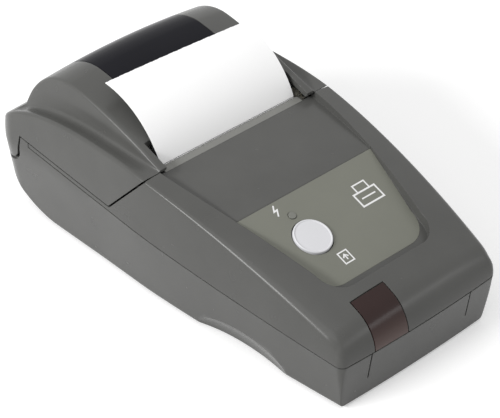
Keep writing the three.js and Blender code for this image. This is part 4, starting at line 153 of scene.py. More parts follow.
# %%
ALONG_X = Matrix.Rotation(math.pi / 2, 4, "Y")
LABEL_PLACE = (Matrix.Translation((0, CREASE_Y, CREASE_HEIGHT))
               @ Matrix.Rotation(LABEL_SLOPE, 4, "X"))
DOUBLES = 1e-7  # metres
DEGENERATE = 1e-8
CAD_WELD = 2e-6
FEWEST_FACES = 4
workshop = []


def clamp(value):
    return np.clip(value, 0.0, 1.0)


def mix(a, b, share):
    return a + (b - a) * share


def on_label(x, down):
    """Place on the label's plane, at a distance below the crease."""
    return LABEL_PLACE @ Matrix.Translation((x, -down, 0))


def moved(points, place):
    """Points carried by a matrix in millimetres."""
    return points @ np.array(place.to_3x3()).T + np.array(place.translation)


def tidy(piece):
    """Welds points that lie together, such as a turned profile's pole, and turns faces outward."""
    work = bmesh.new()
    work.from_mesh(piece.data)
    bmesh.ops.remove_doubles(work, verts=work.verts, dist=DOUBLES)
    bmesh.ops.dissolve_degenerate(work, edges=work.edges, dist=DEGENERATE)
    bmesh.ops.recalc_face_normals(work, faces=work.faces)
    work.to_mesh(piece.data)
    work.free()


def linked(name, mesh):
    """New object in the scene, listed so that it can be cleared away if no piece comes of it."""
    piece = bpy.data.objects.new(name, mesh)
    bpy.context.scene.collection.objects.link(piece)
    workshop.append(piece)
    return piece


def as_object(name, points, faces):
    """An object at the origin with the given points in millimetres, its faces turned outward."""
    mesh = bpy.data.meshes.new(name)
    mesh.from_pydata((np.asarray(points) * MM).tolist(), [], faces)
    mesh.update()
    piece = linked(name, mesh)
    tidy(piece)
    return piece


def quads(rows, columns, closed=False):
    """Faces between neighbouring rings of points, and from the last to the first if closed."""
    row, column = np.meshgrid(np.arange(rows if closed else rows - 1), np.arange(columns),
                              indexing="ij")
    here, over = row * columns, (row + 1) % rows * columns
    beside = (column + 1) % columns
    faces = np.stack([here + column, here + beside, over + beside, over + column], -1)
    return faces.reshape(-1, 4).tolist()


def skin(name, rings, pairs):
    """Closed skin over rings (rows, columns, 3); pairs of columns face each other at the ends."""
    rows, columns = rings.shape[:2]
    faces = quads(rows, columns)
    last = (rows - 1) * columns
    for (a, b), (c, d) in zip(pairs[:-1], pairs[1:]):
        strip = list(dict.fromkeys([a, b, d, c]))
        faces += [strip, [last + index for index in strip]]
    return as_object(name, rings.reshape(-1, 3), faces)


def slab(name, outline, x0=-FAR, x1=FAR):
    """Outline of (y, z) points, stretched along X from x0 to x1."""
    flat = np.asarray(outline, float)
    count = len(flat)
    ends = [np.column_stack([np.full(count, x), flat]) for x in (x0, x1)]
    caps = [list(range(count))[::-1], list(range(count, 2 * count))]
    return as_object(name, np.concatenate(ends), quads(2, count) + caps)


def block(name, low, high):
    """Box between two corners."""
    (x0, y0, z0), (x1, y1, z1) = low, high
    return slab(name, [(y0, z0), (y1, z0), (y1, z1), (y0, z1)], x0, x1)


def turned(name, profile, place, sides=96):
    """Closed profile of (radius, height) points turned about the local Z axis of a place."""
    flat = np.asarray(profile, float)
    count = len(flat)
    angle = np.linspace(0, 2 * np.pi, sides, endpoint=False)[:, None]
    ring = np.stack([flat[:, 0] * np.cos(angle), flat[:, 0] * np.sin(angle),
                     np.broadcast_to(flat[:, 1], (sides, count))], -1)
    return as_object(name, moved(ring.reshape(-1, 3), place), quads(sides, count, closed=True))


def rod(name, radius, low, high, place, sides=96):
    """Round bar along the local Z axis of a place."""
    return turned(name, [(0, low), (radius, low), (radius, high), (0, high)], place, sides)


def rod_x(name, radius, x0, x1, y, z, sides=96):
    """Round bar along X, with its ends given in either order."""
    low, high = sorted((x0, x1))
    return rod(name, radius, low, high, Matrix.Translation((0, y, z)) @ ALONG_X, sides)


def arc(y, z, radius, start, end, count):
    """Points on an arc in side view, angles in degrees."""
    angle = np.radians(np.linspace(start, end, count))
    return np.column_stack([y + radius * np.cos(angle), z + radius * np.sin(angle)]).tolist()


def combine(piece, tool, operation):
    """Replaces the piece's mesh by the result of a Boolean with the tool."""
    for solver in ("MANIFOLD", "EXACT"):
        step = piece.modifiers.new("combine", "BOOLEAN")
        step.operation = operation
        step.solver = solver
        step.object = tool
        graph = bpy.context.evaluated_depsgraph_get()
        result = bpy.data.meshes.new_from_object(piece.evaluated_get(graph))
        piece.modifiers.remove(step)
        if len(result.polygons) >= FEWEST_FACES:
            break
        print("  ", piece.name, operation, tool.name, "needs another solver than", solver)
    old = piece.data
    piece.data = result
    bpy.data.meshes.remove(old)


def cut(piece, *tools):
    for tool in tools:
        combine(piece, tool, "DIFFERENCE")
    return piece


def keep(piece, *limits):
    for limit in limits:
        combine(piece, limit, "INTERSECT")
    return piece


def join(piece, *others):
    for other in others:
        combine(piece, other, "UNION")
    return piece


def twin(piece, name):
    return linked(name, piece.data.copy())


def from_node(node, name):
    """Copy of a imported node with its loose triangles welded."""
    copy = twin(nodes[node], name)
    copy.data.materials.clear()
    work = bmesh.new()
    work.from_mesh(copy.data)
    bmesh.ops.remove_doubles(work, verts=work.verts, dist=CAD_WELD)
    work.to_mesh(copy.data)
    work.free()
    attributes = copy.data.attributes
    for extra in [a.name for a in attributes if a.name in ("custom_normal", "sharp_edge")]:
        attributes.remove(attributes[extra])
    return copy


print("label plane at", tuple(round(v, 2) for v in LABEL_PLACE.translation))

# %% [markdown]
# ## Lines of the case
# The case is one lofted form that three shells are cut from. Each of its lines, such as the seam,
# the shoulder ridge or the edge of the dome, is a formula of the place along the case.


# %%
def round_drop(radius, reach):
    """How far a quarter round has fallen at a reach past its start."""
    positive = max(radius, 0.0)
    return positive - np.sqrt(np.maximum(positive**2 - reach**2, 0))


def seam_height(y):
    return SEAM_FRONT_HEIGHT + SEAM_SLOPE * (y - CASE_FRONT)


def waist_half_width(y, inset):
    """Half width at the seam: straight behind, a power curve to the nose, and round corners."""
    taper = clamp((TEAR_Y - y) / (TEAR_Y - CASE_FRONT))
    rear = np.maximum(y - (CASE_REAR - REAR_CORNER), 0)
    front = np.maximum(CASE_FRONT + FRONT_CORNER - y, 0)
    return (WAIST_HALF_WIDTH - FRONT_TAPER * taper**TAPER_POWER - inset
            - round_drop(REAR_CORNER - inset, rear) - round_drop(FRONT_CORNER - inset, front))


def bottom_height(y, inset):
    """Underside: leaning front face, flat bottom, and an elliptic belly up to the hinge."""
    bottom = CASE_BOTTOM + inset
    lean = clamp((CASE_FRONT + inset + FRONT_LEAN - y) / FRONT_LEAN)
    reach = clamp((y - BELLY_START) / (CASE_REAR - inset - BELLY_START))
    belly = HINGE_HEIGHT - (HINGE_HEIGHT - bottom) * np.sqrt(1 - reach**2)
    return np.minimum(belly + lean * (SEAM_FRONT_HEIGHT - END_CAP_HALF - bottom),
                      HINGE_HEIGHT - END_CAP_HALF)


def ridge_height(y, inset):
    """Shoulder ridge: a quarter ellipse behind, a power curve to the nose, and the nose round."""
    reach = clamp((y - SHOULDER_ARC_START) / (CASE_REAR - inset - SHOULDER_ARC_START))
    rise = (RIDGE_TOP - inset - HINGE_HEIGHT) * np.sqrt(1 - reach**2)
    behind = HINGE_HEIGHT + np.maximum(rise, END_CAP_HALF)
    share = clamp((RIDGE_CREST_Y - y) / (RIDGE_CREST_Y - CASE_FRONT))
    nose = np.maximum(CASE_FRONT + NOSE_RADIUS - y, 0)
    before = (RIDGE_TOP - RIDGE_DROP * share**RIDGE_POWER - inset
              - round_drop(NOSE_RADIUS - inset, nose))
    return np.where(y > SHOULDER_ARC_START, behind,
                    np.maximum(before, SEAM_FRONT_HEIGHT + END_CAP_HALF))


def edge_crown(y):
    """Rise from the ridge to the edge of the top, which fades towards the nose."""
    share = clamp((y - CASE_FRONT) / (COVER_FRONT - CASE_FRONT))
    return EDGE_CROWN_BASE * clamp(share / EDGE_CROWN_RUN) + EDGE_CROWN * np.sin(np.pi * share)


def dome_edge_height(y, inset):
    """Edge of the dome: a power curve up to its crest, then a quarter ellipse to the hinge."""
    low = ridge_height(y, inset) + edge_crown(y)
    ahead = clamp((DOME_CREST_Y - y) / (DOME_CREST_Y - COVER_FRONT))
    behind = clamp((y - DOME_CREST_Y) / DOME_REAR_RUN)
    front = DOME_TOP - DOME_RISE * ahead**DOME_POWER
    rear = HINGE_HEIGHT + (DOME_TOP - HINGE_HEIGHT) * np.sqrt(1 - behind**2)
    dome = np.maximum(np.where(y < DOME_CREST_Y, front, rear) - inset, low)
    return np.where(y < COVER_FRONT, low, dome)


print("dome at its crest:", dome_edge_height(np.array(DOME_CREST_Y), 0.0))

# %% [markdown]
# ## Section and skin of the case
# The section runs from the bottom centre round a small corner, up the drafted side to the shoulder,
# over the ridge and, behind the slot, up the wall of the dome. A swept surface of formulas follows
# the photo better than subdivided boxes.

# %%
LOWER_POINTS = 8
SIDE_POINTS = 13
SHOULDER_POINTS = 11
CROWN_POINTS = 15
VALLEY_SHARES = ((0.3, 0.12), 0.05, (0.4, 0.3))  # of the way out and up, from ridge to dome
VALLEY_ROUNDS = ((1.2, 5), (0.7, 5), (1.5, 5), (1.1, 7))  # radius and points
CROWN_SHARE = 0.93
BEND_LIMIT = 0.45
SHORTEST = 1e-6
STATION_COUNTS = (41, 38, 36, 61)  # nose, top, dome and rear
STATION_NEAREST = 0.002
NOSE_REACH = 1.2
COVER_STEP = 0.06  # the last station before the form steps up to the dome
REAR_STATIONS_START = 50.0
CORE_INSET, WINDOW_INSET, INNER_INSET, DEEP_INSET = 1.0, 1.6, 2.12, 3.2


def run(ax, az, bx, bz, count):
    """Points from a towards b, without b."""
    share = (np.arange(count) / count)[None]
    return mix(ax, bx, share), mix(az, bz, share)


def bend(before, corner, after, radius, count=5):
    """Quadratic curve that rounds a corner between its two neighbours."""
    ends = []
    for other in (before, after):
        length = np.maximum(np.hypot(other[0] - corner[0], other[1] - corner[1]), SHORTEST)
        share = np.minimum(radius, BEND_LIMIT * length) / length
        ends.append([c + (o - c) * share for c, o in zip(corner, other)])
    t = np.linspace(0, 1, count)[None]
    return [(1 - t)**2 * first + 2 * t * (1 - t) * c + t**2 * last
            for first, c, last in zip(ends[0], corner, ends[1])]


def half_section(y, inset):
    """Right half of the section at stations y of shape (rows, 1), bottom to top centre."""
    bottom = bottom_height(y, inset)
    waist = np.minimum(seam_height(y), HINGE_HEIGHT)
    waist_x = waist_half_width(y, inset)
    ridge = ridge_height(y, inset)
    edge = dome_edge_height(y, inset)
    crown = edge_crown(y)
    lower_x = waist_x - LOWER_DRAFT * (waist - bottom)
    lower_r = np.minimum(BOTTOM_CORNER, (waist - bottom) / 2)
    ridge_x = waist_x - UPPER_DRAFT * (ridge - waist)
    ahead = clamp((COVER_FRONT - y) / (COVER_FRONT - CASE_FRONT))
    ridge_r = np.minimum(mix(RIDGE_ROUND, NOSE_ROUND, ahead), (ridge - waist) / 2)
    wall = clamp((edge - ridge) / DOME_WALL_REFERENCE)
    fullness = clamp((ridge - waist) / NOSE_RADIUS)
    top_rise = mix(FRONT_MID_CROWN, DOME_CROWN, wall) * fullness

    # The shoulder's round runs from the slope of the side to the slope of the top.
    risen = clamp((edge - ridge - crown) / SMOOTH_REACH)
    rise = crown + top_rise
    lean = np.arctan(TOP_POWER * rise / (ridge_x - ridge_r)) * (1 - risen)
    side_lean = np.arctan((waist_x - ridge_x + 2 * SIDE_BULGE * fullness)
                          / (ridge - ridge_r - waist))
    over = mix(side_lean, np.pi / 2 - lean, np.linspace(0, 1, SHOULDER_POINTS)[None])
    side_x = ridge_x - ridge_r * (1 - np.cos(side_lean))
    side_z = ridge - ridge_r * (1 - np.sin(side_lean))
    start = (ridge_x - ridge_r * (1 - np.sin(lean)), ridge - ridge_r * (1 - np.cos(lean)))

    # The dome rises from a valley beside the ridge.
    edge_x = DOME_EDGE_SHARE * (ridge_x + inset) - inset
    valley_x = edge_x + VALLEY_STEP
    valley = mix(ridge + crown / 2, ridge - VALLEY_DIP, wall)
    foot, low, high = VALLEY_SHARES
    line = [
        start, (mix(valley_x, ridge_x, foot[0]), mix(valley, ridge, foot[1])),
        (valley_x, mix(valley, edge, low)),
        (mix(edge_x, valley_x, high[0]), mix(valley, edge, high[1])),
        (edge_x, edge), (edge_x * CROWN_SHARE, edge + top_rise * (1 - CROWN_SHARE**2)),
    ]

    corner = np.radians(np.linspace(-90, 0, LOWER_POINTS)[:-1])[None]
    up = np.linspace(0, 1, SIDE_POINTS)[None, :-1]
    across = np.linspace(CROWN_SHARE, 0, CROWN_POINTS)[None]
    outside = [
        run(np.zeros_like(y), bottom, lower_x - lower_r, bottom, LOWER_POINTS),
        (lower_x - lower_r + lower_r * np.cos(corner), bottom + lower_r + lower_r * np.sin(corner)),
        run(lower_x, bottom + lower_r, waist_x, waist, LOWER_POINTS),
        (mix(waist_x, side_x, up) + 2 * SIDE_BULGE * fullness * up * (1 - up),
         mix(waist, side_z, up)),
        (ridge_x - ridge_r + ridge_r * np.cos(over), ridge - ridge_r + ridge_r * np.sin(over)),
    ]
    on_top = [bend(*line[k:k + 3], *turn) for k, turn in enumerate(VALLEY_ROUNDS)]
    on_top.append((edge_x * across, edge + top_rise * (1 - across**2)))
    x, z = (np.concatenate([part[axis] for part in outside + on_top], 1) for axis in (0, 1))

    # Ahead of the dome the top is one power curve from shoulder to shoulder.
    top = sum(part[0].shape[1] for part in outside)
    across = clamp(x[:, top:] / start[0])
    smooth = start[1] + rise * (1 - across**TOP_POWER)
    z[:, top:] = mix(smooth, z[:, top:], risen)
    return x, z, waist_x


def stations(inset):
    """Places along the case: close where nose and rear end curve, and one at every change."""
    front, rear = CASE_FRONT + inset, CASE_REAR - inset
    nose_end = CASE_FRONT + NOSE_RADIUS * NOSE_REACH
    nose, top, dome, end = STATION_COUNTS
    parts = [
        front + (nose_end - front) * (1 - np.cos(np.linspace(0, math.pi / 2, nose))),
        np.linspace(nose_end, COVER_FRONT, top),
        np.linspace(COVER_FRONT, REAR_STATIONS_START, dome),
        REAR_STATIONS_START
        + (rear - REAR_STATIONS_START) * np.sin(np.linspace(0, math.pi / 2, end)),
        [COVER_FRONT - COVER_STEP, SHOULDER_ARC_START, DOME_CREST_Y, BELLY_START],
        [CASE_REAR - REAR_CORNER, front + FRONT_LEAN, CASE_FRONT + FRONT_CORNER,
         CASE_FRONT + NOSE_RADIUS],
    ]
    places = np.unique(np.round(np.concatenate(parts), 4))
    kept = np.concatenate([[True], np.diff(places) > STATION_NEAREST])
    return places[kept & (places >= front) & (places <= rear)]


def hull(name, inset):
    """The whole form, drawn in by an inset, as a closed skin whose front bows."""
    y = stations(inset)[:, None]
    x, z, waist_x = half_section(y, inset)
    bow = clamp((CASE_FRONT + BOW_REACH - y) / BOW_REACH)**2
    along = y + FRONT_BOW * bow * (x / waist_x)**2
    right = np.stack([x, along, z], -1)
    left = right[:, -2:0:-1] * np.array([-1, 1, 1])
    rings = np.concatenate([right, left], 1)
    half, count = x.shape[1], rings.shape[1]
    return skin(name, rings, [(k, (count - k) % count) for k in range(half)])


outer = hull("form_outer", 0.0)
core = hull("form_core", CORE_INSET)
behind_window = hull("form_window", WINDOW_INSET)
inner = hull("form_inner", INNER_INSET)
deep = hull("form_deep", DEEP_INSET)
print("form:", len(outer.data.vertices), "points,", len(outer.data.polygons), "faces")

# %% [markdown]
# ## Regions that split the form
# Side views stretched across the case divide it into lower case, front cover and paper cover. The
# seam between neighbours is a real gap, so its dark line comes from the shape and not from paint.

# %%
COVER_SIDE_CORNER_Y = 19.8
COVER_CORNER_ROUND = 0.8
RAIL_HEIGHT = 1.9
RAIL_REAR = 60.6
NOTCH_Y = 64.9
KNUCKLE_TANGENT = 196
KNUCKLE_SEAM = 338
SCOOP_CENTRE = (WAIST_HALF_WIDTH + 0.4, -40, -5.5)
SCOOP_RADII = (10, 31, 17.5)


def rail_height(y):
    return seam_height(y) + RAIL_HEIGHT


def cover_outline(growth, knuckle):
    """Side view of the paper cover; the growth widens it where it cuts its neighbours."""
    front = COVER_FRONT - growth
    top = float(ridge_height(np.array(COVER_FRONT), 0.0)) - growth
    low, notch = (
        (y - growth, rail_height(y) - growth) for y in (COVER_SIDE_CORNER_Y, NOTCH_Y))
    end = KNUCKLE_SEAM - growth / knuckle / math.radians(1)
    end_y = HINGE_Y + 2 * knuckle * math.cos(math.radians(end))
    end_z = HINGE_HEIGHT + 2 * knuckle * math.sin(math.radians(end))
    corner = bend((front, top), low, notch, COVER_CORNER_ROUND)
    return ([(front, SKY), (front, top)]
            + np.column_stack([corner[0][0], corner[1][0]]).tolist() + [notch]
            + arc(HINGE_Y, HINGE_HEIGHT, knuckle, KNUCKLE_TANGENT, end, 40)
            + [(end_y, end_z), (FAR, end_z), (FAR, SKY)])


def scoop(name, side, growth):
    """Finger scoop: an ellipsoid beside the case, which leaves an arched edge in the wall."""
    lift = np.linspace(-math.pi / 2, math.pi / 2, 73)
    profile = np.column_stack([np.cos(lift), np.sin(lift)])
    x, y, z = SCOOP_CENTRE
    size = Matrix.Diagonal((*(radius + growth for radius in SCOOP_RADII), 1))
    return turned(name, profile, Matrix.Translation((side * x, y, z)) @ size, 144)


def seam_edge(y, side):
    """Point on the edge of the seam, below its middle at side -1 and above it at side 1."""
    return y, seam_height(y) + side * SEAM_GAP / 2


cover_region = slab("cover_region", cover_outline(0.0, KNUCKLE_RADIUS))
cover_room = slab("cover_room", cover_outline(COVER_GAP, KNUCKLE_RADIUS + CRADLE_GAP))
rail_end = RAIL_REAR - SEAM_GAP
over_rail = seam_height(RAIL_REAR) + RAIL_HEIGHT * 2
lower_region = slab("lower_region", [
    (-FAR, -FAR), (FAR, -FAR), (FAR, over_rail), (RAIL_REAR, over_rail),
    seam_edge(RAIL_REAR, -1), seam_edge(-FAR, -1)])
upper_region = slab("upper_region", [
    seam_edge(-FAR, 1), seam_edge(rail_end, 1), (rail_end, SKY), (-FAR, SKY)])
scoops = [scoop(f"scoop_{side}", side, 0.0) for side in (-1, 1)]
scoop_rooms = [scoop(f"scoop_room_{side}", side, WALL) for side in (-1, 1)]
print("cover outline points:", len(cover_outline(0.0, KNUCKLE_RADIUS)))

# %% [markdown]
# ## Lower case
# The outside is the fine form. Ribs, battery well, screw posts and lips keep the shape of the
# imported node, limited to the inside of the wall, so that the open case shows what a real one does.

# %%
TRAY_OUTER = 24.1
NECK_REACH = 24
NECK_ANGLES = (-150, -98)
PIN_STOP = 1.4
PIN_PAST = 9


def hinge_rod(name, radius, x0, x1, sides=96):
    return rod_x(name, radius, x0, x1, HINGE_Y, HINGE_HEIGHT, sides)


cavity = cut(twin(inner, "cavity"), *scoop_rooms)
lower_case = keep(twin(outer, "lower_case"), lower_region)
cut(lower_case, cover_room, cavity)
join(lower_case, keep(from_node("base_case", "base_features"), core))

tray_room = rod_x("tray_room", TRAY_OUTER + CLEARANCE, -FAR, FAR, ROLL_Y, ROLL_HEIGHT, 192)
neck_line = [(HINGE_Y, HINGE_HEIGHT), *arc(HINGE_Y, HINGE_HEIGHT, NECK_REACH, *NECK_ANGLES, 12)]
near, far = KNUCKLE_SPAN
for side in (1, -1):
    neck = cut(slab("neck", neck_line, *sorted((side * near, side * far))), tray_room)
    knuckle = hinge_rod("knuckle", KNUCKLE_RADIUS - CLEARANCE, side * near, side * far)
    keep(join(knuckle, neck), outer)
    cut(knuckle, hinge_rod(
        "pin_hole", PIN_BORE, side * (near + PIN_STOP), side * (far + PIN_PAST), 32))
    join(lower_case, knuckle)
print("lower case:", len(lower_case.data.polygons), "faces")

# %% [markdown]
# ## Openings of the lower case
# The battery door with its barrel, screws, feet, the two slits in the front face and the sockets on
# the right all have their openings cut through the fine wall.

# %%
UNDER = -1
DOOR_HALF_WIDTH = 29.8
DOOR_FRONT, DOOR_REAR, DOOR_TOP = -67.8, -13.6, 3.6
BARREL_RADIUS, BARREL_HEIGHT = 2.05, 2.3
# Two screws and two feet on each side: x, y, radius and top of their holes
HOLES = ((33.0, -6.8, 2.3, 3.2), (33.3, 31.0, 2.3, 3.2), (24, -72, 2.85, 1.7), (27, 44, 4.25, 1.7))
SLIT_X, SLIT_HALF_WIDTH, SLIT_DEPTH = 21.6, 0.25, 5
SLIT_BOTTOM, SLIT_TOP = 7.8, 21.7
SOCKET_X = 34.9  # the socket holes run from here out through the right wall
DATA_HOLE = ((-1.1, 6.0), (9.1, 13.2))  # low and high corner in side view
POWER_HOLE_RADIUS, POWER_HOLE_Y, POWER_HOLE_HEIGHT = 3.3, 17.5, 9.5

cuts = [
    block("mouth", (-DOOR_HALF_WIDTH, DOOR_FRONT, UNDER), (DOOR_HALF_WIDTH, DOOR_REAR, DOOR_TOP)),
    rod_x("barrel", BARREL_RADIUS, -DOOR_HALF_WIDTH, DOOR_HALF_WIDTH, DOOR_REAR, BARREL_HEIGHT, 48),
]
for side in (-1, 1):
    for x, y, radius, top in HOLES:
        cuts.append(rod("hole", radius, UNDER, top, Matrix.Translation((side * x, y, 0)), 48))
    cuts.append(block("slit", (side * SLIT_X - SLIT_HALF_WIDTH, CASE_FRONT - 1, SLIT_BOTTOM),
                      (side * SLIT_X + SLIT_HALF_WIDTH, CASE_FRONT + SLIT_DEPTH, SLIT_TOP)))
cuts.append(block("data_hole", (SOCKET_X, *DATA_HOLE[0]), (FAR, *DATA_HOLE[1])))
cuts.append(rod_x("power_hole", POWER_HOLE_RADIUS, SOCKET_X, FAR, POWER_HOLE_Y,
                  POWER_HOLE_HEIGHT, 64))
cut(lower_case, *scoops, *cuts)
print("lower case with openings:", len(lower_case.data.polygons), "faces")

# %% [markdown]
# ## Front cover
# The recess is a band with sloped walls that follows a rounded outline, cut down to a floor of two
# planes that meet in a crease. The front plane takes the label, the rear one leads to the tear bar.

# %%
RECESS_SHAPE = (33.4, 23.0, -64.0, 8.5)  # half width behind and in front, front end, corner
FILM_SHAPE = (34.0, 23.5, -60.2, 9.0)
RECESS_SIDE_POWER = 1.35
RECESS_LEAN = 0.08
RECESS_BAND = 5.0
LABEL_POCKET = 0.65
POCKET_MARGIN = 0.5
FLOOR_BACKING = 1.8
TONGUE_HALF_WIDTH, TONGUE_REAR = 29.8, 7.1
BAR_SEAT_FRONT, BAR_SEAT_DEPTH, BAR_SEAT_HALF_WIDTH = 4.44, 1.3, 29.7
LINK_SIDES, LINK_REAR, LINK_FIT = (-20.2, -6.6), -68, 0.35
LABEL_HOLE_RANGE = (-5.4, 3.3)
BUTTON_HOLE_RADIUS, LIGHT_HOLE_RADIUS = 6.75, 1.45


def recess_outline(shape, shrink):
    """Right half of an outline seen from above: a power curve at the side, a round corner."""
    rear_half, front_half, front, corner = np.array(shape) + shrink * np.array([-1, -1, 1, -1])
    share = np.linspace(0, 1, 29)
    side_end = front + corner
    side = np.column_stack([rear_half - (rear_half - front_half) * share**RECESS_SIDE_POWER,
                            mix(COVER_FRONT, side_end, share)])
    angle = np.radians(np.linspace(0, 90, 19)[1:])
    turn = np.column_stack([front_half - corner + corner * np.cos(angle),
                            side_end - corner * np.sin(angle)])
    close = np.column_stack([np.linspace(turn[-1, 0], 0, 9)[1:-1], np.full(7, front)])
    return np.concatenate([[[rear_half, SLOT_REAR]], side, turn, close])


def recess_band(name, shape, shrink):
    """Band along an outline that follows the top of the case and leans out as it rises."""
    half = recess_outline(shape, shrink)
    outline = np.concatenate([half, half[::-1] * np.array([-1, 1])])
    centre = (shape[2] + COVER_FRONT) / 2
    x, y = outline[:, 0], outline[:, 1]
    length = np.hypot(x, y - centre)
    level = np.minimum(y, COVER_FRONT)
    surface = ridge_height(level, 0.0) + edge_crown(level)
    rings = []
    for lift in np.linspace(-RECESS_BAND, 2 * RECESS_BAND, 7):
        out = lift * RECESS_LEAN / length
        along = np.where(y > COVER_FRONT, y, y + (y - centre) * out)
        rings.append(np.column_stack([x + x * out, along, surface + lift]))
    count = len(outline)
    return skin(name, np.array(rings), [(k, count - 1 - k) for k in range(len(half))])


def floor_height(y, low):
    slope = math.tan(LABEL_SLOPE) if y < CREASE_Y else REAR_FLOOR_SLOPE
    return CREASE_HEIGHT - low + (y - CREASE_Y) * slope


def above_floor(name, low, front=CASE_FRONT, rear=SLOT_REAR, half_width=FAR):
    """Everything over the planes of the recess floor, lowered by a depth."""
    line = [y for y in (front, CREASE_Y, rear) if y >= front]
    return slab(name, [(y, floor_height(y, low)) for y in line] + [(rear, SKY), (front, SKY)],
                -half_width, half_width)


def before_crease(name, margin):
    return block(name, (-FAR, -FAR, 0), (FAR, CREASE_Y - margin, SKY))


def link_region(name, growth):
    base = seam_height(CASE_FRONT) + SEAM_GAP / 2
    rear = LINK_REAR + growth
    return slab(name, [(CASE_FRONT - FAR, base), (rear, base), (rear, SKY),
                       (CASE_FRONT - FAR, SKY)], LINK_SIDES[0] - growth, LINK_SIDES[1] + growth)


backing = keep(recess_band("backing", RECESS_SHAPE, -WALL),
               above_floor("backing_floor", FLOOR_BACKING + LABEL_POCKET))
tongue = block("tongue", (-TONGUE_HALF_WIDTH, COVER_FRONT - WALL, SLOT_FLOOR),
               (TONGUE_HALF_WIDTH, TONGUE_REAR, SKY))
front_cover = keep(twin(outer, "front_cover"), upper_region)
cut(front_cover, cover_room, cut(twin(inner, "hollow"), backing))
join(front_cover, keep(from_node("top_case", "top_features"), core), keep(tongue, outer))

button_hole = rod("button_hole", BUTTON_HOLE_RADIUS, *LABEL_HOLE_RANGE, on_label(*BUTTON_PLACE))
light_hole = rod("light_hole", LIGHT_HOLE_RADIUS, *LABEL_HOLE_RANGE, on_label(*LIGHT_PLACE), 48)
cut(front_cover,
    keep(recess_band("recess", RECESS_SHAPE, 0.0), above_floor("recess_floor", 0.0)),
    keep(recess_band("pocket", FILM_SHAPE, 0.0), above_floor("pocket_floor", LABEL_POCKET),
         before_crease("pocket_end", POCKET_MARGIN)),
    above_floor("bar_seat", BAR_SEAT_DEPTH, BAR_SEAT_FRONT, TEAR_Y, BAR_SEAT_HALF_WIDTH),
    cut(link_region("link_room", LINK_FIT), deep), button_hole, light_hole)
print("front cover:", len(front_cover.data.polygons), "faces")

# %% [markdown]
# ## Label and windows
# The label is a film in its pocket, cut with the same band and plane as the pocket. The windows are
# cut from the form itself, which keeps them flush with the case like the moulded ones.

# %%
FILM_GAP = 0.06
LABEL_THICKNESS = 0.4
ROLL_WINDOW = (21, 31, 66)  # half width, front and rear


def roll_window_block(name, growth):
    half, front, rear = ROLL_WINDOW
    return block(name, (-half - growth, front - growth, HINGE_HEIGHT),
                 (half + growth, rear + growth, SKY))


label = keep(recess_band("label_film", FILM_SHAPE, FILM_GAP),
             above_floor("film_floor", LABEL_THICKNESS),
             before_crease("film_end", POCKET_MARGIN + FILM_GAP))
cut(label, above_floor("lid", 0.0), button_hole, light_hole)
link_window = cut(keep(link_region("front_window", 0.0), outer), behind_window)
roll_window = cut(keep(roll_window_block("roll_window", 0.0), outer), behind_window)
print("label:", len(label.data.polygons), "windows:", len(link_window.data.polygons),
      len(roll_window.data.polygons))

# %% [markdown]
# ## Paper cover
# The dome carries the platen between two arms and turns about two pins at the rear. The arms and
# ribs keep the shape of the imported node.

# %%
PIN_BORE_HALF = 35.3

paper_cover = cut(keep(twin(outer, "dome_cover"), cover_region), inner)
join(paper_cover, keep(from_node("paper_cover", "cover_features"), core))
cut(paper_cover,
    block("slot", (-SLOT_HALF_WIDTH, -FAR, 0), (SLOT_HALF_WIDTH, SLOT_REAR, SKY)),
    roll_window_block("window_room", FIT_GAP),
    *(hinge_rod("room", KNUCKLE_RADIUS + CLEARANCE, side * (near - CLEARANCE),
                side * (far + CLEARANCE)) for side in (-1, 1)))
pin_bore = hinge_rod("pin_bore", PIN_BORE, -PIN_BORE_HALF, PIN_BORE_HALF, 48)
for side in (-1, 1):
    lug = hinge_rod("lug", KNUCKLE_RADIUS, side * SLOT_HALF_WIDTH, side * FAR, 128)
    join(paper_cover, cut(keep(lug, outer), pin_bore))
print("paper cover:", len(paper_cover.data.polygons), "faces")

# %% [markdown]
# ## Paper and button
# The paper tail is a sheet that follows one arc, with a free end torn by a toothed edge. The roll
# and the button are turned profiles, because both are round.

# %%
TAIL_ROWS, TAIL_COLUMNS = 96, 241
TAIL_THICKNESS = 0.14
TAIL_CENTRE_Y, TAIL_CENTRE_Z, TAIL_RADIUS = 36.2, 32.9, 30.9
TAIL_START_HEIGHT, TAIL_END_ANGLE = 45.1, 94.0
TAIL_SKEW, TAIL_CUP, TAIL_MARGIN = 2.6, 0.25, 0.15
TOOTH_PITCH, TOOTH_HEIGHT = 1.97, 0.1
RAGS = ((0.05, 1.3, 1.1), (0.04, 6.1, 0.0))  # height, waves per millimetre and phase
ROLL_EDGE_ROUND = 0.12
BUTTON_FOOT = [(0, -4.55), (2.2, -4.55), (2.2, -4.05), (7.65, -4.05), (7.65, -3.05), (6.4, -3.05)]
BUTTON_RIM = [(6.4, 0.4), (6.34, 0.58), (6.2, 0.7), (6.02, 0.74), (5.86, 0.7), (5.76, 0.62),
              (5.68, 0.55), (5.5, 0.55), (0, 0.55)]


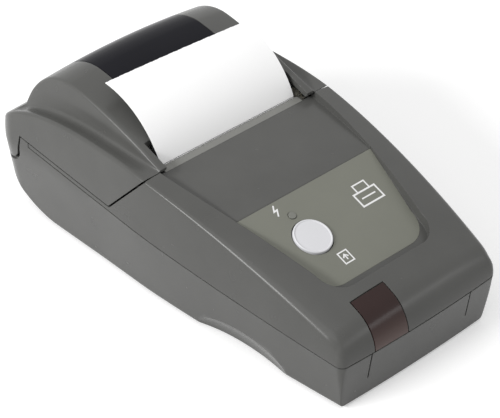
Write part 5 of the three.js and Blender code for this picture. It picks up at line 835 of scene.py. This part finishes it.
def paper_tail():
    """Sheet along an arc in side view: each column across runs to its own torn end."""
    rise = (TAIL_START_HEIGHT - TAIL_CENTRE_Z) / TAIL_RADIUS
    start = 180 - math.degrees(math.asin(rise))
    across = np.linspace(-PAPER_WIDTH / 2, PAPER_WIDTH / 2, TAIL_COLUMNS)[:, None]
    length = TAIL_RADIUS * math.radians(start - TAIL_END_ANGLE)
    teeth = np.abs((across / TOOTH_PITCH) % 1 - 0.5) * 2
    ragged = sum(height * np.sin(across * waves + phase) for height, waves, phase in RAGS)
    skew = TAIL_SKEW * (across / PAPER_WIDTH + 0.5)
    last = 1 - (skew + TOOTH_HEIGHT * teeth + ragged + TAIL_MARGIN) / length
    share = np.linspace(0, 1, TAIL_ROWS)[None] * last
    angle = np.radians(mix(start, TAIL_END_ANGLE, share))
    first_y = TAIL_CENTRE_Y + TAIL_RADIUS * math.cos(math.radians(start))
    y = TAIL_CENTRE_Y + TAIL_RADIUS * np.cos(angle) + (TEAR_Y - first_y) * (1 - share)**2
    cup = TAIL_CUP * (2 * across / PAPER_WIDTH)**2 * share**2
    z = TAIL_CENTRE_Z + TAIL_RADIUS * np.sin(angle) - cup
    dy, dz = np.gradient(y, axis=1), np.gradient(z, axis=1)
    size = np.hypot(dy, dz)
    ny, nz = -dz / size * TAIL_THICKNESS / 2, dy / size * TAIL_THICKNESS / 2
    x = np.broadcast_to(across, y.shape)
    front = np.stack([x, y + ny, z + nz], -1)
    back = np.stack([x, y - ny, z - nz], -1)[:, ::-1]
    rings = np.concatenate([front, back], 1)
    pairs = [(k, 2 * TAIL_ROWS - 1 - k) for k in range(TAIL_ROWS)]
    return skin("paper_sheet", rings, pairs)


def rounded(corners, radius, steps=3):
    """Closed profile with every corner rounded."""
    after = corners[1:] + corners[:1]
    bends = [bend(corners[k - 1], corners[k], after[k], radius, steps) for k in range(len(after))]
    return np.concatenate([np.column_stack([x[0], z[0]]) for x, z in bends])


def tube_profile(bore, radius):
    half = ROLL_WIDTH / 2
    return [(bore, -half), (radius, -half), (radius, half), (bore, half)]


tail = paper_tail()
roll_place = Matrix.Translation((0, ROLL_Y, ROLL_HEIGHT)) @ ALONG_X
roll = turned("wound_paper", rounded(tube_profile(CORE_RADIUS + CLEARANCE, ROLL_RADIUS),
                                     ROLL_EDGE_ROUND), roll_place, 180)
core_tube = turned("card_core", tube_profile(CORE_BORE, CORE_RADIUS), roll_place)
button = turned("button_cap", BUTTON_FOOT + BUTTON_RIM, on_label(*BUTTON_PLACE), 128)
print("tail:", len(tail.data.polygons), "roll:", len(roll.data.polygons),
      "button:", len(button.data.polygons))

# %% [markdown]
# ## Printed marks
# Plain pictograms in white ink lie on the label: a bolt by the light, a sheet with an arrow by the
# button, and a small outline of a printer. Each is a row of flat strokes a few hundredths thick.

# %%
INK_LOW, INK_HIGH = -0.06, 0.03
MITRE_LIMIT = 0.4
FINE, MEDIUM, BOLD = 0.45, 0.5, 0.6


def box_line(x0, x1, d0, d1):
    return [(x0, d0), (x1, d0), (x1, d1), (x0, d1)]


# Lines of (x, distance below the crease), with the stroke's width and whether it is closed
STROKES = (
    ([(-14.4, 1.6), (-15.7, 3.7), (-14.3, 3.5), (-15.6, 5.7)], MEDIUM, False),
    (box_line(-9.2, -5.6, 26.2, 30.4), FINE, True),
    ([(-7.4, 29.4), (-7.4, 27.3)], FINE, False),
    ([(-8.4, 28.4), (-7.4, 27.3), (-6.4, 28.4)], FINE, False),
    (box_line(11.0, 20.0, 12.0, 17.0), BOLD, True),
    ([(13.0, 12.0), (13.0, 9.0), (18.0, 9.0), (18.0, 12.0)], MEDIUM, False),
    ([(12.6, 14.4), (18.4, 14.4)], MEDIUM, False),
)


def unit(vectors):
    return vectors / np.linalg.norm(vectors, axis=1)[:, None]


def across_of(vectors):
    return np.stack([-vectors[:, 1], vectors[:, 0]], -1)


def stroke(name, line, width, closed):
    """Flat stroke along a line on the label, with mitred corners."""
    flat = np.asarray(line, float)
    before, after = np.roll(flat, 1, 0), np.roll(flat, -1, 0)
    if not closed:
        before[0] = 2 * flat[0] - flat[1]
        after[-1] = 2 * flat[-1] - flat[-2]
    one, two = unit(flat - before), unit(after - flat)
    normal = unit(across_of(one + two))
    reach = width / 2 / np.maximum((normal * across_of(one)).sum(1), MITRE_LIMIT)
    left, right = flat + normal * reach[:, None], flat - normal * reach[:, None]
    ring = np.stack([np.column_stack([side * (1, -1), np.full(len(flat), z)]) for side, z in (
        (left, INK_LOW), (right, INK_LOW), (right, INK_HIGH), (left, INK_HIGH))], 1)
    faces = quads(len(flat), 4, closed)
    if not closed:
        faces += [[k + 4 * row for k in range(4)] for row in (0, len(flat) - 1)]
    return as_object(name, moved(ring.reshape(-1, 3), LABEL_PLACE), faces)


ink = join(*(stroke("printed_marks", *row) for row in STROKES))
print("marks:", len(ink.data.polygons), "faces")

# %% [markdown]
# ## Finishes
# Every finish is a node material in object coordinates. A fine noise gives the moulded grain, a
# coarse one a slight unevenness of tone, and a rounded normal catches light along the edges the way
# a real moulding does. Pictures would tie the finish to one view, so none are used.

# %%
NOISE_LOW, NOISE_HIGH = 0.3, 0.7
ROUGH_SPREAD = 0.06
ROUGH_SIZE_SHARE = 0.6
EDGE_SAMPLES = 6


def feed(tree, node, inputs):
    """Gives each input that is named its value, or a link from another node's output."""
    for socket, value in inputs.items():
        if isinstance(value, bpy.types.NodeSocket):
            tree.links.new(value, node.inputs[socket])
        else:
            node.inputs[socket].default_value = value
    return node


def add_node(tree, kind, inputs=None, **settings):
    node = tree.nodes.new(kind)
    for name, value in settings.items():
        setattr(node, name, value)
    return feed(tree, node, inputs or {})


def linear(red, green, blue):
    """Colour from 0-255 display values to the values a shader works in."""
    share = np.array([red, green, blue]) / 255
    value = np.where(share <= 0.04045, share / 12.92, ((share + 0.055) / 1.055)**2.4)
    return (*value.tolist(), 1.0)


def finish(name, colour, rough, metal=0.0, tone=0.05, tone_size=14.0, grain=0.08,
           grain_size=0.35, grain_depth=0.02, edge=0.25, coat=0.0, gloss=0.5):
    """Material of one colour with uneven tone, a grain and rounded edges, in millimetres."""
    made = bpy.data.materials.new(name)
    made.use_nodes = True
    tree = made.node_tree
    place = add_node(tree, "ShaderNodeTexCoord").outputs["Object"]

    def noise(size, detail):
        return add_node(tree, "ShaderNodeTexNoise", {
            "Vector": place, "Scale": 1 / (size * MM), "Detail": detail}).outputs["Fac"]

    def ranged(value, low, high):
        return add_node(tree, "ShaderNodeMapRange", {
            "Value": value, "From Min": NOISE_LOW, "From Max": NOISE_HIGH,
            "To Min": low, "To Max": high}).outputs["Result"]

    base = np.array(linear(*colour)[:3])
    speckle = add_node(tree, "ShaderNodeMath", {
        0: ranged(noise(grain_size, 2), -1, 1), 1: grain,
        2: ranged(noise(tone_size, 3), 0, 1)}, operation="MULTIPLY_ADD")
    blend = add_node(tree, "ShaderNodeMix", {
        "Factor": speckle.outputs[0], "A": (*(base * (1 - tone)).tolist(), 1),
        "B": (*np.minimum(base * (1 + tone), 1).tolist(), 1)}, data_type="RGBA")
    bump = add_node(tree, "ShaderNodeBump", {
        "Strength": 1.0, "Distance": grain_depth * MM, "Height": noise(grain_size, 2)})
    if edge > 0:
        round_edge = add_node(tree, "ShaderNodeBevel", {"Radius": edge * MM}, samples=EDGE_SAMPLES)
        feed(tree, bump, {"Normal": round_edge.outputs["Normal"]})
    feed(tree, tree.nodes["Principled BSDF"], {
        "Base Color": blend.outputs["Result"], "Normal": bump.outputs["Normal"],
        "Roughness": ranged(noise(tone_size * ROUGH_SIZE_SHARE, 3), rough * (1 - ROUGH_SPREAD),
                            rough * (1 + ROUGH_SPREAD)),
        "Metallic": metal, "Specular IOR Level": gloss, "Coat Weight": coat})
    return made


def painted_reflection_below(made, colour, high, low):
    """Painted reflection: a lighter second colour that comes in downward from one height to another,
    in millimetres.
    """
    tree = made.node_tree
    shader = tree.nodes["Principled BSDF"]
    place = add_node(tree, "ShaderNodeTexCoord")
    parts = add_node(tree, "ShaderNodeSeparateXYZ", {0: place.outputs["Object"]})
    share = add_node(tree, "ShaderNodeMapRange", {
        "Value": parts.outputs["Z"], "From Min": high * MM, "From Max": low * MM})
    blend = add_node(tree, "ShaderNodeMix", {
        "Factor": share.outputs["Result"], "B": linear(*colour),
        "A": shader.inputs["Base Color"].links[0].from_socket}, data_type="RGBA")
    feed(tree, shader, {"Base Color": blend.outputs["Result"]})


print("mid grey in the shader:", round(linear(128, 128, 128)[0], 3))

# %% [markdown]
# ## Palette
# One finish for each material slot of the part. The case is a warm dark grey with a soft gloss, the
# label a greener grey, and the dark window has a painted reflection that turns it lighter and redder
# towards its foot.

# %%
SMOOTH = {"grain": 0.0, "grain_depth": 0.0005}
BRIGHT = {"metal": 1.0}
FILM = {"coat": 0.4, "edge": 0.0, "tone": 0.06}

# Colour as displayed, roughness, and what differs from the defaults of a finish
PALETTE = {
    "case_shell": ((82, 82, 80), 0.26, dict(
        grain=0.10, grain_size=0.3, grain_depth=0.005, edge=0.3, gloss=0.27)),
    "label": ((116, 117, 108), 0.46, dict(
        tone=0.03, grain=0.03, grain_depth=0.004, edge=0.1, gloss=0.35)),
    "tear_strip": ((118, 118, 114), 0.42, dict(tone=0.03)),
    "dark_window": ((44, 27, 25), 0.2, dict(SMOOTH, edge=0.15, gloss=0.25)),
    "smoked_window": ((34, 34, 38), 0.2, dict(SMOOTH, tone=0.04, gloss=0.03)),
    "paper": ((255, 255, 255), 0.75, dict(
        tone=0.008, grain=0.01, grain_size=0.12, grain_depth=0.006, edge=0.0)),
    "card": ((164, 140, 108), 0.85, dict(tone=0.1, grain=0.1, grain_size=0.5, edge=0.0)),
    "board": ((30, 92, 60), 0.4, dict(tone=0.1, tone_size=3, coat=0.3)),
    "black_plastic": ((36, 37, 40), 0.5, dict(tone=0.08)),
    "light_plastic": ((222, 218, 204), 0.45, dict(tone=0.03)),
    "light_guide": ((112, 113, 106), 0.3, dict(tone=0.03, coat=0.3)),
    "sheet_steel": ((186, 188, 190), 0.32, dict(BRIGHT, tone=0.06, grain_size=0.2)),
    "heat_sink": ((196, 197, 200), 0.38, dict(BRIGHT, grain_size=0.2)),
    "ceramic": ((218, 212, 200), 0.2, dict(tone=0.03, coat=0.5)),
    "flex_film": ((196, 130, 52), 0.35, FILM),
    "motor_can": ((170, 172, 176), 0.3, dict(BRIGHT, tone=0.06)),
    "steel": ((190, 191, 194), 0.25, BRIGHT),
    "rubber": ((38, 38, 40), 0.8, dict(tone=0.08, grain=0.2, grain_size=0.25)),
    "foot_rubber": ((30, 30, 32), 0.85, dict(tone=0.08, grain=0.2)),
    # Painted shade: the brass is far darker than bright brass, so that the bush seen in the slot
    # looks shaded.
    "brass": ((96, 82, 62), 0.5, BRIGHT),
    "button": ((214, 214, 217), 0.4, dict(tone=0.015, grain=0.02, grain_depth=0.004, edge=0.1)),
    "cell_sleeve": ((60, 92, 120), 0.3, FILM),
}
# Painted reflection: the dark window turns lighter and redder towards its foot, between these
# heights.
WINDOW_PAINTED_REFLECTION = (86, 69, 65)
WINDOW_REFLECTION_FADE = (26.0, 19.0)

finishes = {name: finish(name, colour, rough, **more)
            for name, (colour, rough, more) in PALETTE.items()}
# Paints the reflection onto the dark window's colour.
painted_reflection_below(finishes["dark_window"], WINDOW_PAINTED_REFLECTION, *WINDOW_REFLECTION_FADE)
ink_finish = finish("printed_ink", (236, 236, 232), 0.6, tone=0.02, edge=0.0)
print("finishes:", len(finishes))

# %% [markdown]
# ## Putting the pieces on their bodies
# The tools that cut the pieces are cleared away. A new piece rides on the body of the node that it
# stands for and takes the same material slot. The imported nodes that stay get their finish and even
# shading through a modifier, so that their points are untouched.

# %%
CAD_SHARP_ANGLE = math.radians(35)
NEW_SHARP_ANGLE = math.radians(34)


def even_shading():
    """Node group that welds loose triangles and shades smooth between the sharp edges."""
    group = bpy.data.node_groups.new("even_shading", "GeometryNodeTree")
    for way in ("INPUT", "OUTPUT"):
        group.interface.new_socket("Geometry", in_out=way, socket_type="NodeSocketGeometry")
    start = add_node(group, "NodeGroupInput")
    clean = add_node(group, "GeometryNodeRemoveAttribute", {
        0: start.outputs[0], "Name": "custom_normal"})
    weld = add_node(group, "GeometryNodeMergeByDistance", {
        "Geometry": clean.outputs[0], "Distance": CAD_WELD})
    faces = add_node(group, "GeometryNodeSetShadeSmooth", {
        "Geometry": weld.outputs[0]}, domain="FACE")
    angle = add_node(group, "GeometryNodeInputMeshEdgeAngle")
    wide = add_node(group, "FunctionNodeCompare", {
        0: angle.outputs["Unsigned Angle"], 1: CAD_SHARP_ANGLE}, operation="GREATER_THAN")
    edges = add_node(group, "GeometryNodeSetShadeSmooth", {
        "Geometry": faces.outputs[0], "Selection": wide.outputs[0],
        "Shade Smooth": False}, domain="EDGE")
    add_node(group, "NodeGroupOutput", {0: edges.outputs[0]})
    return group


slots = {row["node"]: row["material_slot"] for row in frame["record"]["subparts"]}
body_of = {node: body for body, members in frame["record"]["behaviour"]["bodies"].items()
           for node in members}
pieces = {
    "base_case": lower_case, "top_case": front_cover, "paper_cover": paper_cover,
    "label_overlay": label, "link_window": link_window, "cover_window": roll_window,
    "paper_tail": tail, "paper_roll": roll, "roll_core": core_tube, "feed_button": button,
}
for thing in workshop:
    if thing not in (ink, *pieces.values()):
        bpy.data.objects.remove(thing)
for node, piece in pieces.items():
    piece.data.materials.clear()
    piece.data.materials.append(finishes[slots[node]])
    piece.data.shade_smooth()
    piece.data.set_sharp_from_angle(angle=NEW_SHARP_ANGLE)
    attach(piece, body_of[node])
    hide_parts(node)
ink.data.materials.append(ink_finish)
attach(ink, body_of["label_overlay"])

shading = even_shading()
for node, cad in nodes.items():
    if node in pieces:
        continue
    cad.data.materials.clear()
    cad.data.materials.append(finishes[slots[node]])
    step = cad.modifiers.new("even_shading", "NODES")
    step.node_group = shading
print("new pieces:", len(pieces) + 1, "packed nodes kept:", len(nodes) - len(pieces))

# %% [markdown]
# ## Camera and lamps
# The camera stands where the photo was taken from. A strip behind the left side gives the bright
# flank and the thin line along the shoulder, a wide soft lamp over the front lights the top without
# a second line, and a weak one gives the band of light on the nose. Places here are in metres.

# %%
LENS_LENGTH, SENSOR_WIDTH = 155.12, 36
NEAREST_SEEN, FARTHEST_SEEN = 0.05, 20
EYE = Vector((-0.3816, -0.4130, 0.4343))
VIEW_DIRECTION = Vector((0.547, 0.589, -0.595))
# Name, place, target, size and watts
LAMPS = (
    ("strip", (-1.05, 0.2, 0.68), (0, 0, 0.04), (0.62, 0.22), 11.4),
    ("front", (-0.3, -0.3, 1.25), (0, 0, 0.03), (1.3, 1.3), 4.6),
    ("nose", (0.74, -1.0, 0.58), (0, -0.07, 0.03), (0.5, 0.2), 0.8),
)


def aimed(thing, place, target):
    thing.location = place
    thing.rotation_euler = (Vector(target) - Vector(place)).to_track_quat("-Z", "Y").to_euler()
    bpy.context.scene.collection.objects.link(thing)
    return thing


def soft_light(name, place, target, size, power):
    lamp = bpy.data.lights.new(name, "AREA")
    lamp.shape = "RECTANGLE"
    lamp.size, lamp.size_y = size
    lamp.energy = power
    return aimed(bpy.data.objects.new(name, lamp), place, target)


scene = bpy.context.scene
lens = bpy.data.cameras.new("camera")
lens.lens, lens.sensor_width = LENS_LENGTH, SENSOR_WIDTH
lens.clip_start, lens.clip_end = NEAREST_SEEN, FARTHEST_SEEN
scene.camera = aimed(bpy.data.objects.new("camera", lens), EYE, EYE + VIEW_DIRECTION)
for row in LAMPS:
    soft_light(*row)
print("camera at", [round(v, 3) for v in scene.camera.location], "lamps:", len(LAMPS))

# %% [markdown]
# ## White studio
# The photo's background is white. The world and the floor are that bright only for rays that the
# viewer sees, so that they light the case no more than a pale studio does, and the floor keeps the
# shadow.

# %%
WORLD_LIGHT, WORLD_SEEN = 0.5, 1.0
FLOOR_HALF, FLOOR_DEPTH = 3, -0.0002
FLOOR_LIGHT, FLOOR_SEEN, FLOOR_GLOW = 0.6, 0.84, 0.34


def grey(value):
    return (value, value, value, 1)


def direct_view(tree):
    """One for rays that the viewer sees straight, in a reflection or through glass."""
    ray = add_node(tree, "ShaderNodeLightPath").outputs
    seen = ray["Is Camera Ray"]
    for other in ("Is Glossy Ray", "Is Transmission Ray"):
        seen = add_node(tree, "ShaderNodeMath", {0: seen, 1: ray[other]},
                        operation="MAXIMUM").outputs[0]
    return seen


def show_by_ray(tree, hidden, seen, output):
    """One shader for the rays that only carry light, another for those that the viewer sees."""
    pick = add_node(tree, "ShaderNodeMixShader", {
        0: direct_view(tree), 1: hidden.outputs[0], 2: seen.outputs[0]})
    feed(tree, tree.nodes[output], {"Surface": pick.outputs[0]})


world = bpy.data.worlds.new("studio")
scene.world = world
world.use_nodes = True
tree = world.node_tree
ground = feed(tree, tree.nodes["Background"], {"Color": grey(1), "Strength": WORLD_LIGHT})
white = add_node(tree, "ShaderNodeBackground", {"Color": grey(1), "Strength": WORLD_SEEN})
show_by_ray(tree, ground, white, "World Output")

floor_mesh = bpy.data.meshes.new("floor")
floor_mesh.from_pydata([(x * FLOOR_HALF, y * FLOOR_HALF, 0)
                        for x, y in ((-1, -1), (1, -1), (1, 1), (-1, 1))], [], [(0, 1, 2, 3)])
floor = linked("floor", floor_mesh)
floor.location.z = FLOOR_DEPTH

pale = bpy.data.materials.new("pale_floor")
pale.use_nodes = True
tree = pale.node_tree
tree.nodes.remove(tree.nodes["Principled BSDF"])
plain = add_node(tree, "ShaderNodeBsdfDiffuse", {"Color": grey(FLOOR_LIGHT)})
lit = add_node(tree, "ShaderNodeBsdfDiffuse", {"Color": grey(FLOOR_SEEN)})
glow = add_node(tree, "ShaderNodeEmission", {"Strength": FLOOR_GLOW})
bright = add_node(tree, "ShaderNodeAddShader", {0: lit.outputs[0], 1: glow.outputs[0]})
show_by_ray(tree, plain, bright, "Material Output")
floor_mesh.materials.append(pale)
scene.view_settings.view_transform = "Standard"
print("floor:", 2 * FLOOR_HALF, "metres wide")
